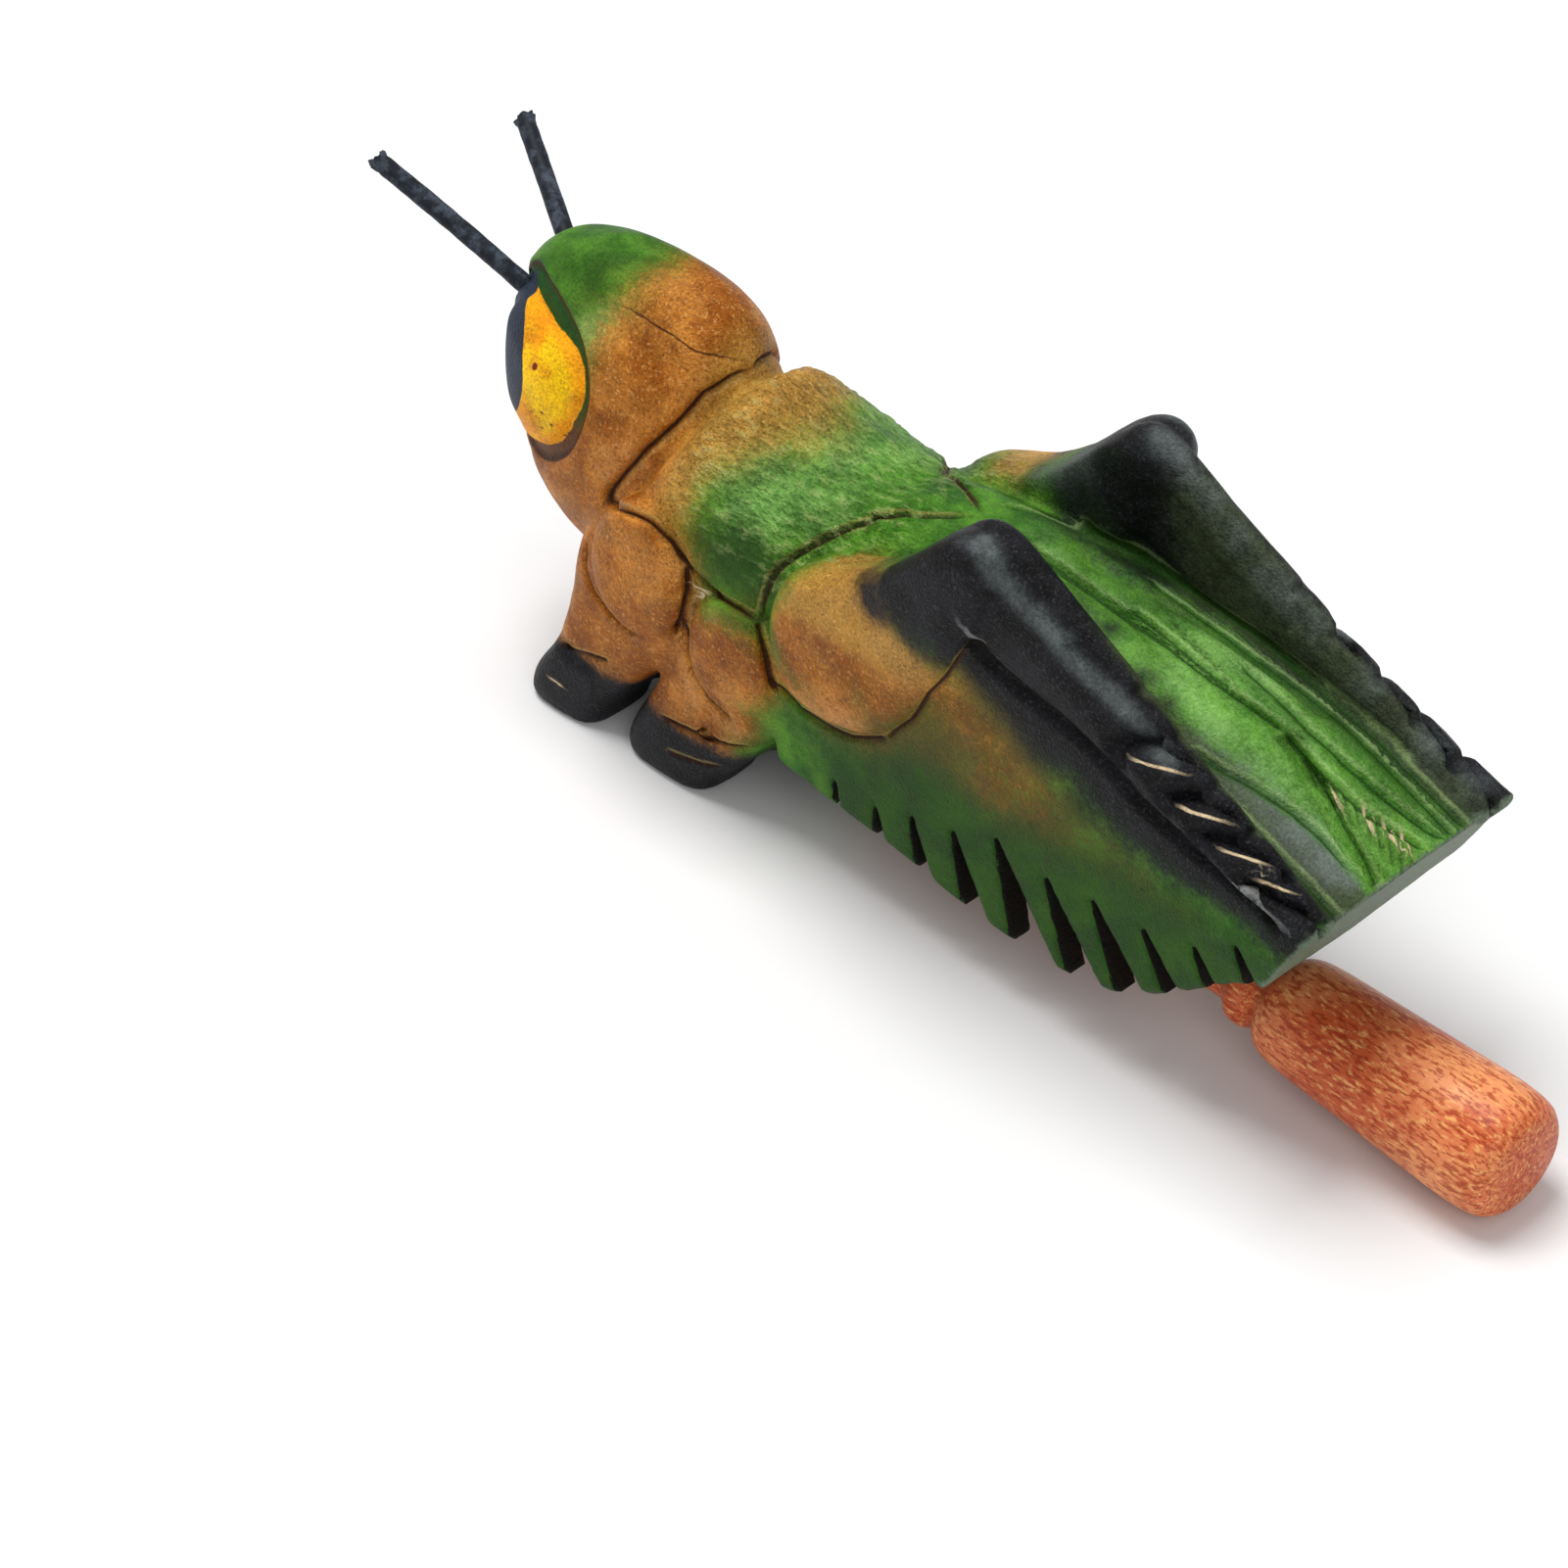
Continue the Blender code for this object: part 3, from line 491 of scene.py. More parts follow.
# Fewer faces on plain skin than round the cuts and the eye.
plain = 0.62 - 0.3 * np.maximum(np.maximum(flank_near, chop_near), top_near * upward)
plain = np.where(facing & (socket_gap < 1.5), 0.3, plain)
plain = np.maximum(plain * (1 - 0.3 * shin), np.maximum(inside, smooth(stick_gap, 7.5, 6)))
levels = np.clip(np.round(plain * 20) / 20, 0.1, 1.0)
looser = body.vertex_groups.new(name="looser")
for level in np.unique(levels):
    looser.add(np.nonzero(levels == level)[0].tolist(), float(level), "REPLACE")
thin = body.modifiers.new("fewer faces", "DECIMATE")
thin.vertex_group = looser.name
thin.ratio = min(1.0, BODY_TRIANGLES / (2.0 * len(body_mesh.polygons)))
body_mesh = baked(body)
body_mesh.shade_smooth()
body_mesh.name = "cricket_body"

# Sprayed paint, with the painted shade, highlights and sheen sprayed the same way: soft dabs of
# the airbrush, as x, y, z, reach and strength. The first six lists serve both flanks; the last two
# lie where the drawing says, on the wings' slopes.
ORANGE_DABS = (
    (44.5, 0.4, 71.5, 4.8, 1), (49.2, 0.5, 67.1, 3.4, 1), (43.6, -6.4, 68.6, 5.2, 1),
    (41.3, -1.3, 72.4, 3.9, 0.8), (39.3, -11.9, 61.7, 5.8, 1), (44.6, -9.4, 63, 4.1, 1),
    (37.1, -14.8, 53.5, 4.9, 1), (41.7, -13.5, 53.5, 3.5, 1), (32.9, -15.9, 45.1, 4.5, 1),
    (26.3, -15.4, 43.2, 2.8, 0.8), (28.8, -15.1, 37.4, 3.1, 1), (33.4, -15.6, 36.5, 2.8, 1),
    (36.6, -3.3, 72.4, 3, 0.35), (35.7, -10.2, 66, 4.1, 0.6), (24.4, -15.5, 44.9, 1.7, 0.7),
    (56.1, 0.4, 63.1, 3.8, 0.9), (55.1, -2.4, 63.1, 3.4, 0.77), (61.1, 0.2, 61.5, 3.3, 0.6),
    (54.7, -6.8, 61.8, 3.4, 0.72), (53.4, -10.4, 59.6, 3.3, 0.64), (50, -12.8, 56.6, 3, 0.9),
    (58, -9.2, 59.7, 3, 0.42), (49.2, -16, 52.7, 2.7, 0.95), (47.6, -17.3, 49.2, 1.9, 1),
    (52.5, -17.3, 50.5, 2.2, 0.7), (45.8, -19.4, 47.6, 1.7, 1), (48.8, -21.5, 44.3, 4.1, 1),
    (43.7, -21.6, 36.5, 3.9, 1), (51.7, -21.5, 39, 3.4, 1), (46.6, -21.6, 31, 4.2, 1),
    (54.3, -20.7, 43.1, 1.9, 0.9), (36, -19, 23.8, 2.8, 1), (37.3, -18.9, 19.2, 3.1, 1),
    (43.6, -18.9, 20.8, 3.1, 1), (50.3, -21.3, 29.4, 2.8, 1), (34.7, -18.6, 32.7, 2.8, 1),
    (36.3, -19.2, 29.1, 2.8, 1), (55.7, -20.6, 38.9, 1.7, 0.8), (67, -21.2, 31.6, 3, 1),
    (69.8, -21.1, 29.6, 3, 1), (63, -21.1, 27.5, 2.8, 1), (61.1, -21.1, 31.7, 2.5, 1),
    (55.7, -19, 20.5, 3.1, 1), (59.7, -19, 16.5, 2.8, 1), (65.6, -18.9, 18.9, 2.2, 0.9),
    (72.3, -20.7, 32.5, 1.9, 0.9), (58.7, -20.7, 32.8, 1.7, 1), (53.4, -18.7, 19.9, 2, 0.9),
    (65.1, -21.2, 35.7, 1.9, 0.45), (70.6, -20.8, 37.6, 1.6, 0.5), (87.8, -21.9, 57, 4, 1),
    (84.7, -22.6, 49, 4, 1), (90.4, -22.6, 48.7, 4.2, 1), (81.2, -22.5, 41.9, 3, 0.9),
    (87.5, -22.5, 40.3, 3.5, 0.75), (93.9, -22.6, 57.3, 2.9, 0.8), (88.5, -14.1, 58.1, 1.3, 0.6),
    (84.8, -15.1, 56.7, 1.9, 0.7), (97.7, -22.5, 46, 3.3, 0.6), (103, -22.4, 50.6, 2.9, 0.45),
    (92, -22.2, 37.5, 2.9, 0.35), (116.5, -19.2, 43, 3.1, 0.2), (120.3, -19.3, 40.2, 3.1, 0.25),
    (115.1, -19.4, 37.2, 3.2, 0.25), (125.8, -19.4, 38.4, 3.3, 0.2), (63.4, 2.7, 60.6, 2.2, 0.4),
    (65.8, -3.5, 59.9, 1.9, 0.25), (69.2, 0.7, 59.5, 1.6, 0.2), (60.3, -5.7, 60.7, 2.2, 0.34),
    (49.6, -21.6, 32.7, 5.8, 1), (46.8, -21.6, 38.1, 5, 1), (61.5, -20.7, 24.7, 4.4, 1),
    (66.4, -21.2, 31.2, 3.3, 0.9), (31.7, -18.5, 17.7, 2.9, 1), (35.1, -18.8, 17.5, 2.6, 1),
    (43.3, -18.8, 18.5, 2.3, 1), (42, -12.2, 10.8, 1.7, 0.9), (53.5, -18.9, 15.9, 2.2, 1),
    (58.7, -18.1, 12.3, 2, 1), (48.7, -18.2, 14, 1.7, 1), (55.6, -19, 14.1, 2, 1),
    (94, -22.6, 54.1, 3.7, 1), (98.1, -22.6, 52.7, 2.9, 0.8), (88.3, -22.3, 36.9, 2.7, 0.6),
    (101.3, -22.5, 50.7, 2.4, 0.6), (95.3, -22.1, 61.2, 2.1, 0.9), (18.7, -12.8, 37.9, 2, 1),
    (23, -14.5, 37.5, 2, 1), (22.3, -14.6, 39.3, 1.7, 1), (24, -13.1, 32, 2.3, 1),
    (26.4, -12.2, 29.3, 2.3, 1), (106.3, -20.1, 49.6, 2.9, 0.35), (108.1, -19.1, 46.2, 3.2, 0.35),
    (110.5, -18.9, 52.5, 1.8, 0.2), (112.7, -19.1, 45.5, 3.2, 0.2), (55.6, -18.6, 32.6, 1.2, 0.9),
    (59.3, -20.9, 31.5, 1.1, 1), (78.8, -22.3, 45.6, 2.4, 0.8), (83.1, -22.5, 51.8, 2.4, 0.75),
    (87.8, -21.9, 57, 2.4, 0.7), (89.1, -19.2, 58.9, 1.8, 0.6), (76.7, -21.1, 35.2, 2.2, 0.9),
    (80.1, -21.3, 33.4, 2.2, 0.85), (84.3, -21.1, 32.2, 2.4, 0.8), (90.4, -21.5, 34.1, 2.4, 0.6),
    (97.6, -22.3, 42.5, 2.9, 0.7), (103, -22.4, 50.6, 2.6, 0.6),
)
BLACK_DABS = (
    (99.2, -22.5, 63.5, 2.9, 1), (103, -22.6, 62.3, 3.1, 1), (99.3, -20.7, 66.3, 2.3, 0.95),
    (106.3, -22.4, 68.9, 3.4, 1), (108.2, -22.4, 63.4, 3.1, 1), (103.3, -20.3, 70.7, 1.8, 0.9),
    (109.3, -21.1, 74.6, 2.8, 1), (112.6, -20, 75.8, 3.3, 1), (111.2, -22.1, 69.8, 3.3, 1),
    (114, -21.3, 70.8, 2.6, 1), (111.8, -21.6, 63.3, 1.8, 0.8), (96.7, -22.6, 58.9, 1.6, 0.6),
    (102.2, -22.6, 57.7, 2.1, 0.7), (104.8, -22.5, 55.8, 1.6, 0.4), (108.9, -22.1, 59.5, 1.6, 0.6),
    (114, -18.8, 54.8, 1.6, 0.6), (119.4, -18.9, 52.9, 2.9, 0.8), (125.7, -19, 51.5, 3.6, 0.9),
    (132, -19.1, 50.2, 3.9, 0.95), (139.1, -19.2, 49.4, 3.9, 0.95), (146.2, -19.3, 47.8, 3.6, 0.9),
    (152.5, -19.5, 45.9, 2.8, 0.85), (158.8, -19.8, 44, 2.3, 0.7), (134.2, -19.3, 44.9, 2.8, 0.5),
    (141.3, -19.4, 44.2, 2.8, 0.6), (148.5, -19.6, 42.7, 2.3, 0.5),
    (123.4, -19.1, 46.9, 2.3, 0.35), (27.7, -19.1, 6.7, 3.2, 1), (33, -19.1, 6.9, 4, 1),
    (38.2, -18.1, 8.3, 3.4, 1), (40.5, -16.3, 9.5, 2, 1), (29.6, -17.7, 11.5, 1.4, 0.8),
    (34.1, -18.4, 1.6, 2.9, 1), (26.7, -19.3, 1.6, 2.2, 1), (49.5, -19.1, 7.1, 2.8, 1),
    (53.6, -19.1, 5.8, 3.7, 1), (59.2, -18.6, 6.9, 3.7, 1), (62.4, -16.8, 7.7, 2.3, 0.9),
    (54.9, -18.5, 1.6, 2.8, 1), (48.3, -18.9, 9.9, 1.4, 0.7), (51.6, -19.1, 10.1, 1.4, 0.5),
    (59.2, -13.7, 2.8, 2.6, 1), (65, -16.4, 10.2, 1.7, 0.9), (39.2, -12.1, 7.3, 1.7, 0.9),
    (57.7, -18.2, 4, 2.8, 1), (36, -12.2, 1.9, 2.3, 1), (35.6, -17.7, 3.3, 2.3, 1),
    (94.6, -22.2, 60.5, 2, 0.85), (91.9, -19.8, 60.5, 1.6, 0.7), (96.2, -22.6, 57.8, 1.6, 0.6),
)
KNEE_DABS = (
    (92.1, 14, 60.2, 2.9, 0.5), (99.3, 12, 63.3, 3.6, 0.85), (106.3, 12, 67, 5, 1),
    (113, 12.2, 72, 5.7, 1), (119.3, 13.1, 71.5, 5.7, 1), (111.8, 12, 63.3, 4.3, 1),
    (118.6, 12.5, 61.7, 5, 1), (101.3, 12, 59.4, 2.2, 0.6),
)
# Painted shade: dark green sprayed where shade falls.
SHADE_DABS = (
    (63.3, -18.3, 46.9, 3.3, 0.9), (68.7, -17.9, 47.1, 3, 0.9), (66.1, -17.2, 49.5, 2.7, 0.6),
    (59, -18, 48.7, 1.9, 0.6), (70.8, -18.1, 45.8, 1.9, 0.8), (76.1, -12, 54.6, 2.7, 0.4),
    (18.8, -6.5, 69.1, 2.8, 0.5), (25, -7.6, 69.3, 3.1, 0.5), (15, -3.9, 69.4, 2, 0.4),
    (24.9, -3.6, 72.3, 2.8, 0.4), (82.7, -18.5, 23.2, 4.1, 0.5), (94.6, -19, 25.9, 4.1, 0.4),
    (113.4, -19.3, 27.5, 4, 0.4), (131.8, -19.5, 26.6, 4, 0.5), (149.6, -19.9, 29.1, 3.9, 0.5),
)
# Paler paint with painted highlights: a pale green sheen on the head, thorax and wing stripes.
HIGHLIGHT_DABS = (
    (29, -11.6, 64, 2.2, 0.8), (30.6, -10.1, 66.5, 2.2, 0.5), (33.7, -8.3, 68.8, 2.5, 0.4),
    (33.5, -11, 65, 1.9, 0.5), (45.4, -8.3, 64.5, 1.1, 0.6), (45.2, -9.2, 62.6, 0.8, 0.7),
    (106, 0.9, 61.1, 2.1, 0.5), (110.5, 3.9, 59.5, 2.4, 0.4), (117.5, 2, 60.1, 2.1, 0.4),
    (131.8, -3.9, 58, 2.3, 0.5), (137.8, -4.7, 56.9, 2.3, 0.5), (143.5, -5.4, 55.6, 2.1, 0.5),
    (148, -4.5, 54.4, 1.5, 0.4), (128.5, 3.7, 58.6, 1.8, 0.4), (137.2, -0.3, 57.4, 1.3, 0.3),
    (152.5, 2.2, 53.1, 1.8, 0.3), (63.3, -14.5, 54.2, 2.7, 0.45), (67.2, -10.7, 56.8, 3, 0.45),
    (72.8, -9.6, 56.6, 2.7, 0.4), (75.7, -5.8, 57.9, 2.4, 0.35), (68.1, -14.5, 53.4, 1.9, 0.3),
    (52.7, -10.7, 59.4, 1.9, 0.45), (63.7, -9.1, 58.4, 2.4, 0.3), (80.5, 0.8, 58.5, 1.9, 0.3),
    (76.9, -10.9, 55.3, 1.6, 0.3), (47.1, -9.1, 57.1, 1.7, 0.4), (58, -14, 55.5, 1.9, 0.35),
    (60.1, -9.3, 59.1, 1.9, 0.3), (68.5, -4.3, 59.2, 2.2, 0.2), (108, 1.7, 61, 2.4, 0.5),
    (113.8, 2.2, 60.5, 2.1, 0.5), (119.7, 1.6, 59.9, 1.8, 0.4), (127.6, 0.6, 59, 2.1, 0.5),
    (132.8, -0.2, 58.2, 1.8, 0.5), (135.4, -5, 57.3, 2.1, 0.5), (141.6, -5.2, 56, 2.1, 0.5),
    (70.4, 5.4, 58.6, 3.6, 0.5), (71.3, -1.3, 59.1, 2.7, 0.35), (75.6, 4.9, 58.1, 2.7, 0.35),
    (65.6, 0.5, 60.2, 3, 0.35), (59.4, 0.9, 61.9, 2.2, 0.35), (56.3, -5.6, 62, 2.7, 0.3),
    (55.6, -10.6, 59.2, 2.7, 0.35), (52.3, -14.2, 55.9, 2.5, 0.3),
)
OLIVE_DABS = (
    (102, -19.2, 38.9, 3.5, 0.8), (106.5, -19.1, 43.1, 2.9, 0.5), (112.8, -19.1, 45.1, 3.4, 0.7),
    (121.9, -19.2, 43.6, 3.7, 0.8), (129.3, -19.4, 40.4, 3.4, 0.6), (115.1, -19.4, 37.2, 3.4, 0.7),
    (107.6, -19.3, 38.8, 3.2, 0.7), (136.5, -19.5, 39.3, 2.9, 0.5), (143.7, -19.7, 38.2, 2.6, 0.4),
    (94.6, -19.1, 34.2, 2.7, 0.6), (124.1, -19.5, 37.4, 3.1, 0.5), (102.9, -22.2, 48.7, 2.4, 0.5),
    (112.3, -18.9, 52.2, 2.6, 0.6), (108, -22, 56.5, 1.8, 0.5), (118, -19.1, 47.2, 2.6, 0.5),
    (82.9, -18.6, 28.6, 1.9, 0.3), (66.5, -20.6, 40.5, 1.6, 0.4), (150.9, -20, 37.6, 2.1, 0.3),
    (106.3, -20.1, 49.6, 3.2, 0.5), (109.9, -19.1, 46.8, 3.2, 0.6), (68.3, -18.5, 42.6, 1.4, 0.4),
    (116.1, -19, 49.4, 2.6, 0.6), (112.2, -18.9, 53.8, 3.1, 0.7), (116, -19, 51, 3.4, 0.7),
    (110.8, -20.3, 58, 1.8, 0.5), (105.7, -19.2, 40.2, 2.7, 0.4), (120.6, -19, 49.4, 3.4, 0.6),
    (90.8, -19, 30.7, 2.4, 0.4), (97.4, -19.2, 36.3, 2.1, 0.4),
)
SLOPE_DABS = (
    (129.6, -15.5, 68.9, 2.4, 1), (134.7, -15.3, 66, 2.8, 1), (138.4, -14.5, 62.8, 2.6, 0.9),
    (143.7, -15.5, 60.6, 2.4, 0.9), (148, -15.4, 58.2, 2.4, 0.8), (148.9, -11.1, 52.1, 2.1, 0.7),
    (153.9, -11.9, 50.5, 2.1, 0.7), (158.9, -12.6, 48.9, 2.1, 0.8), (163.7, -13.3, 47.3, 2.1, 0.9),
    (167.7, -13.9, 45.9, 2.4, 1), (169.7, -12.3, 45.3, 1, 0.5), (125.3, 12.6, 65.2, 3.9, 1),
    (125.8, 12.5, 59, 2.9, 1), (132.5, 12.7, 60.8, 3.7, 1), (134.5, 12.7, 56.9, 2.4, 0.9),
    (139.5, 12.9, 56.3, 3.4, 0.9), (142.2, 12.2, 53.2, 1.8, 0.7), (147.9, 13.4, 54, 3.4, 0.9),
    (150.7, 12.3, 51.3, 1.8, 0.6), (156.3, 13.9, 50.2, 3.4, 0.9), (161.2, 12.2, 48.2, 1.8, 0.5),
    (164.4, 14.5, 47.9, 3.4, 0.9), (170.9, 16.9, 46, 3.4, 1), (169.6, 12.5, 45.3, 1.6, 0.5),
    (85.5, 15.3, 57, 1.6, 0.3), (123.2, 16.5, 71.8, 2.6, 1), (132.4, 16.2, 67.1, 2.6, 1),
    (141.9, 15.7, 61.8, 2.6, 1), (107.6, 12, 58.6, 1.1, 0.6), (122.2, -4.1, 59.4, 1, 0.7),
    (130.4, -7.2, 57.4, 1.3, 0.7), (135.9, -8.4, 55.9, 1.3, 0.7), (141.5, -9.7, 54.4, 1.2, 0.6),
    (146.6, -10.5, 52.8, 1, 0.5), (88.4, 12.1, 57.6, 1.1, 0.3), (128.3, -16, 69.3, 1.5, 0.8),
    (133.5, -15, 66.5, 1.5, 0.6), (123.9, -16, 71.7, 1.3, 0.7),
)
# Painted sheen: bluish grey on the black knees, shins and slopes.
SHEEN_DABS = (
    (111.9, -18.7, 76.4, 1, 0.7), (113.8, -19.4, 75.7, 1, 0.8), (115.3, -19.1, 74.1, 1, 0.6),
    (118.3, -18.4, 71.6, 0.9, 0.5), (121.8, -18.4, 69.4, 0.9, 0.5), (126.2, -18.3, 67, 1, 0.6),
    (130.9, -18.5, 64.1, 1, 0.6), (136.1, -18.5, 61.7, 1, 0.6), (140.7, -18.7, 59.1, 1, 0.5),
    (144, -18.5, 58.1, 1, 0.5), (112.9, 14, 76.7, 1.6, 0.7), (116.1, 14.3, 75.7, 1.6, 0.8),
    (119.3, 13.8, 73.6, 1.3, 0.6), (123, 13.8, 71.5, 1.3, 0.6), (127.6, 13.7, 68.3, 1.6, 0.5),
    (133.3, 13.5, 64.1, 1.8, 0.5), (136.7, 13.7, 62.5, 1.8, 0.6), (141.7, 14, 60.2, 1.8, 0.5),
    (100.9, 12, 67.2, 2.7, 0.4), (97.1, 12.4, 63.7, 2.1, 0.4), (151.5, 14.9, 55.2, 2.1, 0.4),
    (161.6, 15.4, 50.7, 2.3, 0.5), (169, 17.1, 47.4, 1.8, 0.5), (93.3, 12.7, 60.7, 1.9, 0.3),
    (149.9, -8.5, 52.8, 2.1, 0.5), (155.2, -8.6, 51, 2, 0.6), (160.4, -8.6, 49.1, 2.3, 0.8),
    (165.1, -9.1, 47.2, 2, 0.9), (168.1, -8.6, 46.2, 1.5, 0.9), (144, -7.7, 54.7, 1.8, 0.3),
)
# Painted sheen: the line of the grey streak down the near shin.
SHIN_SHEEN_LINE = (
    (106.5, -20.5, 76.5), (110.5, -20.2, 76.9), (113.2, -19.7, 75.3), (115.6, -19.4, 72.3),
    (120.5, -18.9, 69), (127.5, -18.7, 65.4), (135.7, -18.2, 62.5), (141.3, -18.4, 59.2),
    (144.7, -18.4, 57.9))
DAB_REACH, DAB_EDGE = 1.5, 1.8
PAINT_WOBBLE = 0.8


def dabbed(points, dabs):
    """How much paint a row of dabs leaves at each point, 0 to 1."""
    left = np.ones(len(points))
    for x, y, z, reach, strength in dabs:
        gap = np.linalg.norm(points - (x, y, z), axis=1) / (reach * DAB_REACH)
        left *= 1 - strength * np.exp(-(gap ** DAB_EDGE))
    return 1 - left


p = mesh_points(body_mesh) / MM - (DRAWN_X, 0, 0)
side = np.abs(p[:, 1])
flank = flanked(p) + np.stack([value_noise(p, 7, s) for s in (1.1, 4.7, 8.3)], 1) * PAINT_WOBBLE
teeth, tail, shin, inside = zones(p)
own = p + flank - flanked(p)
x, z = flank[:, 0], flank[:, 2]
# Of these layers, the deep one is painted shade, the light one paler paint with painted
# highlights, and the grey one a painted sheen on the black.
layers = {"orange": dabbed(flank, ORANGE_DABS), "deep": dabbed(flank, SHADE_DABS),
          "light": dabbed(flank, HIGHLIGHT_DABS), "painted_sheen": dabbed(own, SHEEN_DABS),
          "olive": dabbed(flank, OLIVE_DABS), "tan": smooth(x, 46, 52) * smooth(z, 46, 51)}
# Painted shade in dark green on the panel under the thigh.
under_thigh_shade = smooth(x, 78, 88) * smooth(z, 42, 34) * smooth(side, 15, 17)
layers["deep"] = np.maximum(layers["deep"], 0.85 * under_thigh_shade)
legs = smooth(x, 74, 68)
shanks = legs * smooth(x, 67, 61) * smooth(z, 37, 32)
face = smooth(z, 60, 50) * smooth(x, 48, 44) * smooth(z, 20, 26)
layers["orange"] = np.maximum(layers["orange"], np.maximum(shanks, face))
# Painted highlight: the tops of the wings lighter.
wing_top_highlight = smooth(x, 96, 106) * smooth(side, 13.5, 11.5) * smooth(z, 38, 42)
layers["light"] = np.maximum(layers["light"], wing_top_highlight * (0.34 + 0.22 * value_noise(p, 9, 6.0)))
# Painted sheen: a grey streak down the near shin.
sheen_gap = along_line(flank, SHIN_SHEEN_LINE, 12)[0]
layers["painted_sheen"] = np.maximum(layers["painted_sheen"], 0.8 * smooth(sheen_gap, 2.8, 0.2)
                            * (0.8 + 0.2 * value_noise(p, 4, 9.0)))
knees = [(at_x, -abs(at_y), *rest) for at_x, at_y, *rest in KNEE_DABS]
under_shin = along_line(flank, FLANK_CUTS["under_shin"][2], 12)[0]
# Black paint on the knees, shins and feet; its band under the near shin is black paint and also
# painted shade under the overhang.
layers["black"] = 1 - (1 - dabbed(flank, BLACK_DABS)) * (1 - shin) \
    * (1 - dabbed(flank, knees)) * (1 - dabbed(own, SLOPE_DABS)) \
    * (1 - 0.92 * smooth(under_shin, 9.5, 2.0) * smooth(side, 16, 18)) \
    * (1 - legs * smooth(z + 0.06 * (x - 30), 13.2, 11.2))
# Painted shade on the slopes of the wings beside the shins.
far_slope = smooth(own[:, 1], 10.5, 12.5) * smooth(own[:, 1], 17.5, 15.0) * smooth(x, 112, 124)
near_slope = smooth(own[:, 1], -6.8, -9) * smooth(own[:, 1], -16.2, -14.6) * smooth(x, 122, 138)
layers["slope_shade"] = np.maximum(0.62 * far_slope, 0.9 * near_slope)
layers["tail"] = smooth(p[:, 0] - (172 + TAIL_LEAN * (p[:, 2] - 45)), -0.5, -0.25)
layers["inside"] = inside
layers["teeth"] = teeth * smooth(p[:, 2], 0.5, 3)
EYE_DOTS = ((22.1, -13.7, 57, 0.55), (24.3, -15.3, 50.7, 0.3), (22.4, -15.1, 50, 0.2),
            (25.7, -15.6, 49.2, 0.3), (23.8, -15.4, 47.8, 0.25), (26.4, -15.8, 47.4, 0.25))
u, v, front = eye_plane(p)


def near_eye(gap, far=9.0):
    """A distance from a part of the eye that counts on the front of the head alone."""
    return np.where(front, np.clip(gap, -far, far), far)


dots = zip(*eye_plane(np.array(EYE_DOTS)[:, :3])[:2], EYE_DOTS)
layers["dots"] = near_eye(np.min([np.hypot(u - a, v - b) - dot[3] for a, b, dot in dots], axis=0),
                          2.0)
for name, outline in (("eye", EYE_YELLOW), ("socket", EYE_SOCKET), ("pupil", EYE_PUPIL)):
    layers[name] = near_eye(outline_gap(u, v, outline))
layers["glint"] = near_eye(np.hypot(u - EYE_GLINT[0], v - EYE_GLINT[1]) - EYE_GLINT[2])
keep_on(body_mesh, layers)


def sprayed(r, g, b):
    """A paint colour given as it looks on a screen, 0 to 255, as linear light."""
    return tuple(((c / 255 + 0.055) / 1.055) ** 2.4 if c > 10 else c / 3295 for c in (r, g, b)) \
        + (1.0,)


def put(tree, socket, value):
    if isinstance(value, bpy.types.NodeSocket):
        tree.links.new(value, socket)
    else:
        socket.default_value = value


def filled(tree, made, inputs):
    """Puts a value or a link on each named input of a node."""
    for key, value in inputs.items():
        put(tree, made.inputs[key.replace("_", " ")], value)
    return made


def node(tree, kind, **inputs):
    return filled(tree, tree.nodes.new(kind), inputs)


def math_node(tree, what, a, b=0.0, c=0.0):
    made = tree.nodes.new("ShaderNodeMath")
    made.operation = what
    for socket, value in zip(made.inputs, (a, b, c)):
        put(tree, socket, value)
    return made.outputs[0]


def grain(tree, place, scale, detail, roughness=0.6):
    """Noise over the surface, 0 to 1."""
    return node(tree, "ShaderNodeTexNoise", Vector=place, Scale=scale, Detail=detail,
                Roughness=roughness).outputs["Fac"]


def ramp(tree, value, low, high, out_low=0.0, out_high=1.0):
    made = node(tree, "ShaderNodeMapRange", Value=value, From_Min=low, From_Max=high,
                To_Min=out_low, To_Max=out_high)
    made.interpolation_type = "SMOOTHSTEP"
    return made.outputs["Result"]


def layer(tree, name):
    made = tree.nodes.new("ShaderNodeAttribute")
    made.attribute_name = name
    return made.outputs["Fac"]


def group(name, inputs, outputs):
    made = bpy.data.node_groups.new(name, "ShaderNodeTree")
    for label, kind, value in inputs:
        socket = made.interface.new_socket(name=label, in_out="INPUT", socket_type=kind)
        if value is not None:
            socket.default_value = value
    for label, kind in outputs:
        made.interface.new_socket(name=label, in_out="OUTPUT", socket_type=kind)
    return made, made.nodes.new("NodeGroupInput").outputs, \
        made.nodes.new("NodeGroupOutput").inputs


def placed(tree, shared, **inputs):
    made = tree.nodes.new("ShaderNodeGroup")
    made.node_tree = shared
    return filled(tree, made, inputs).outputs


FLOAT, VECTOR, COLOUR = "NodeSocketFloat", "NodeSocketVector", "NodeSocketColor"

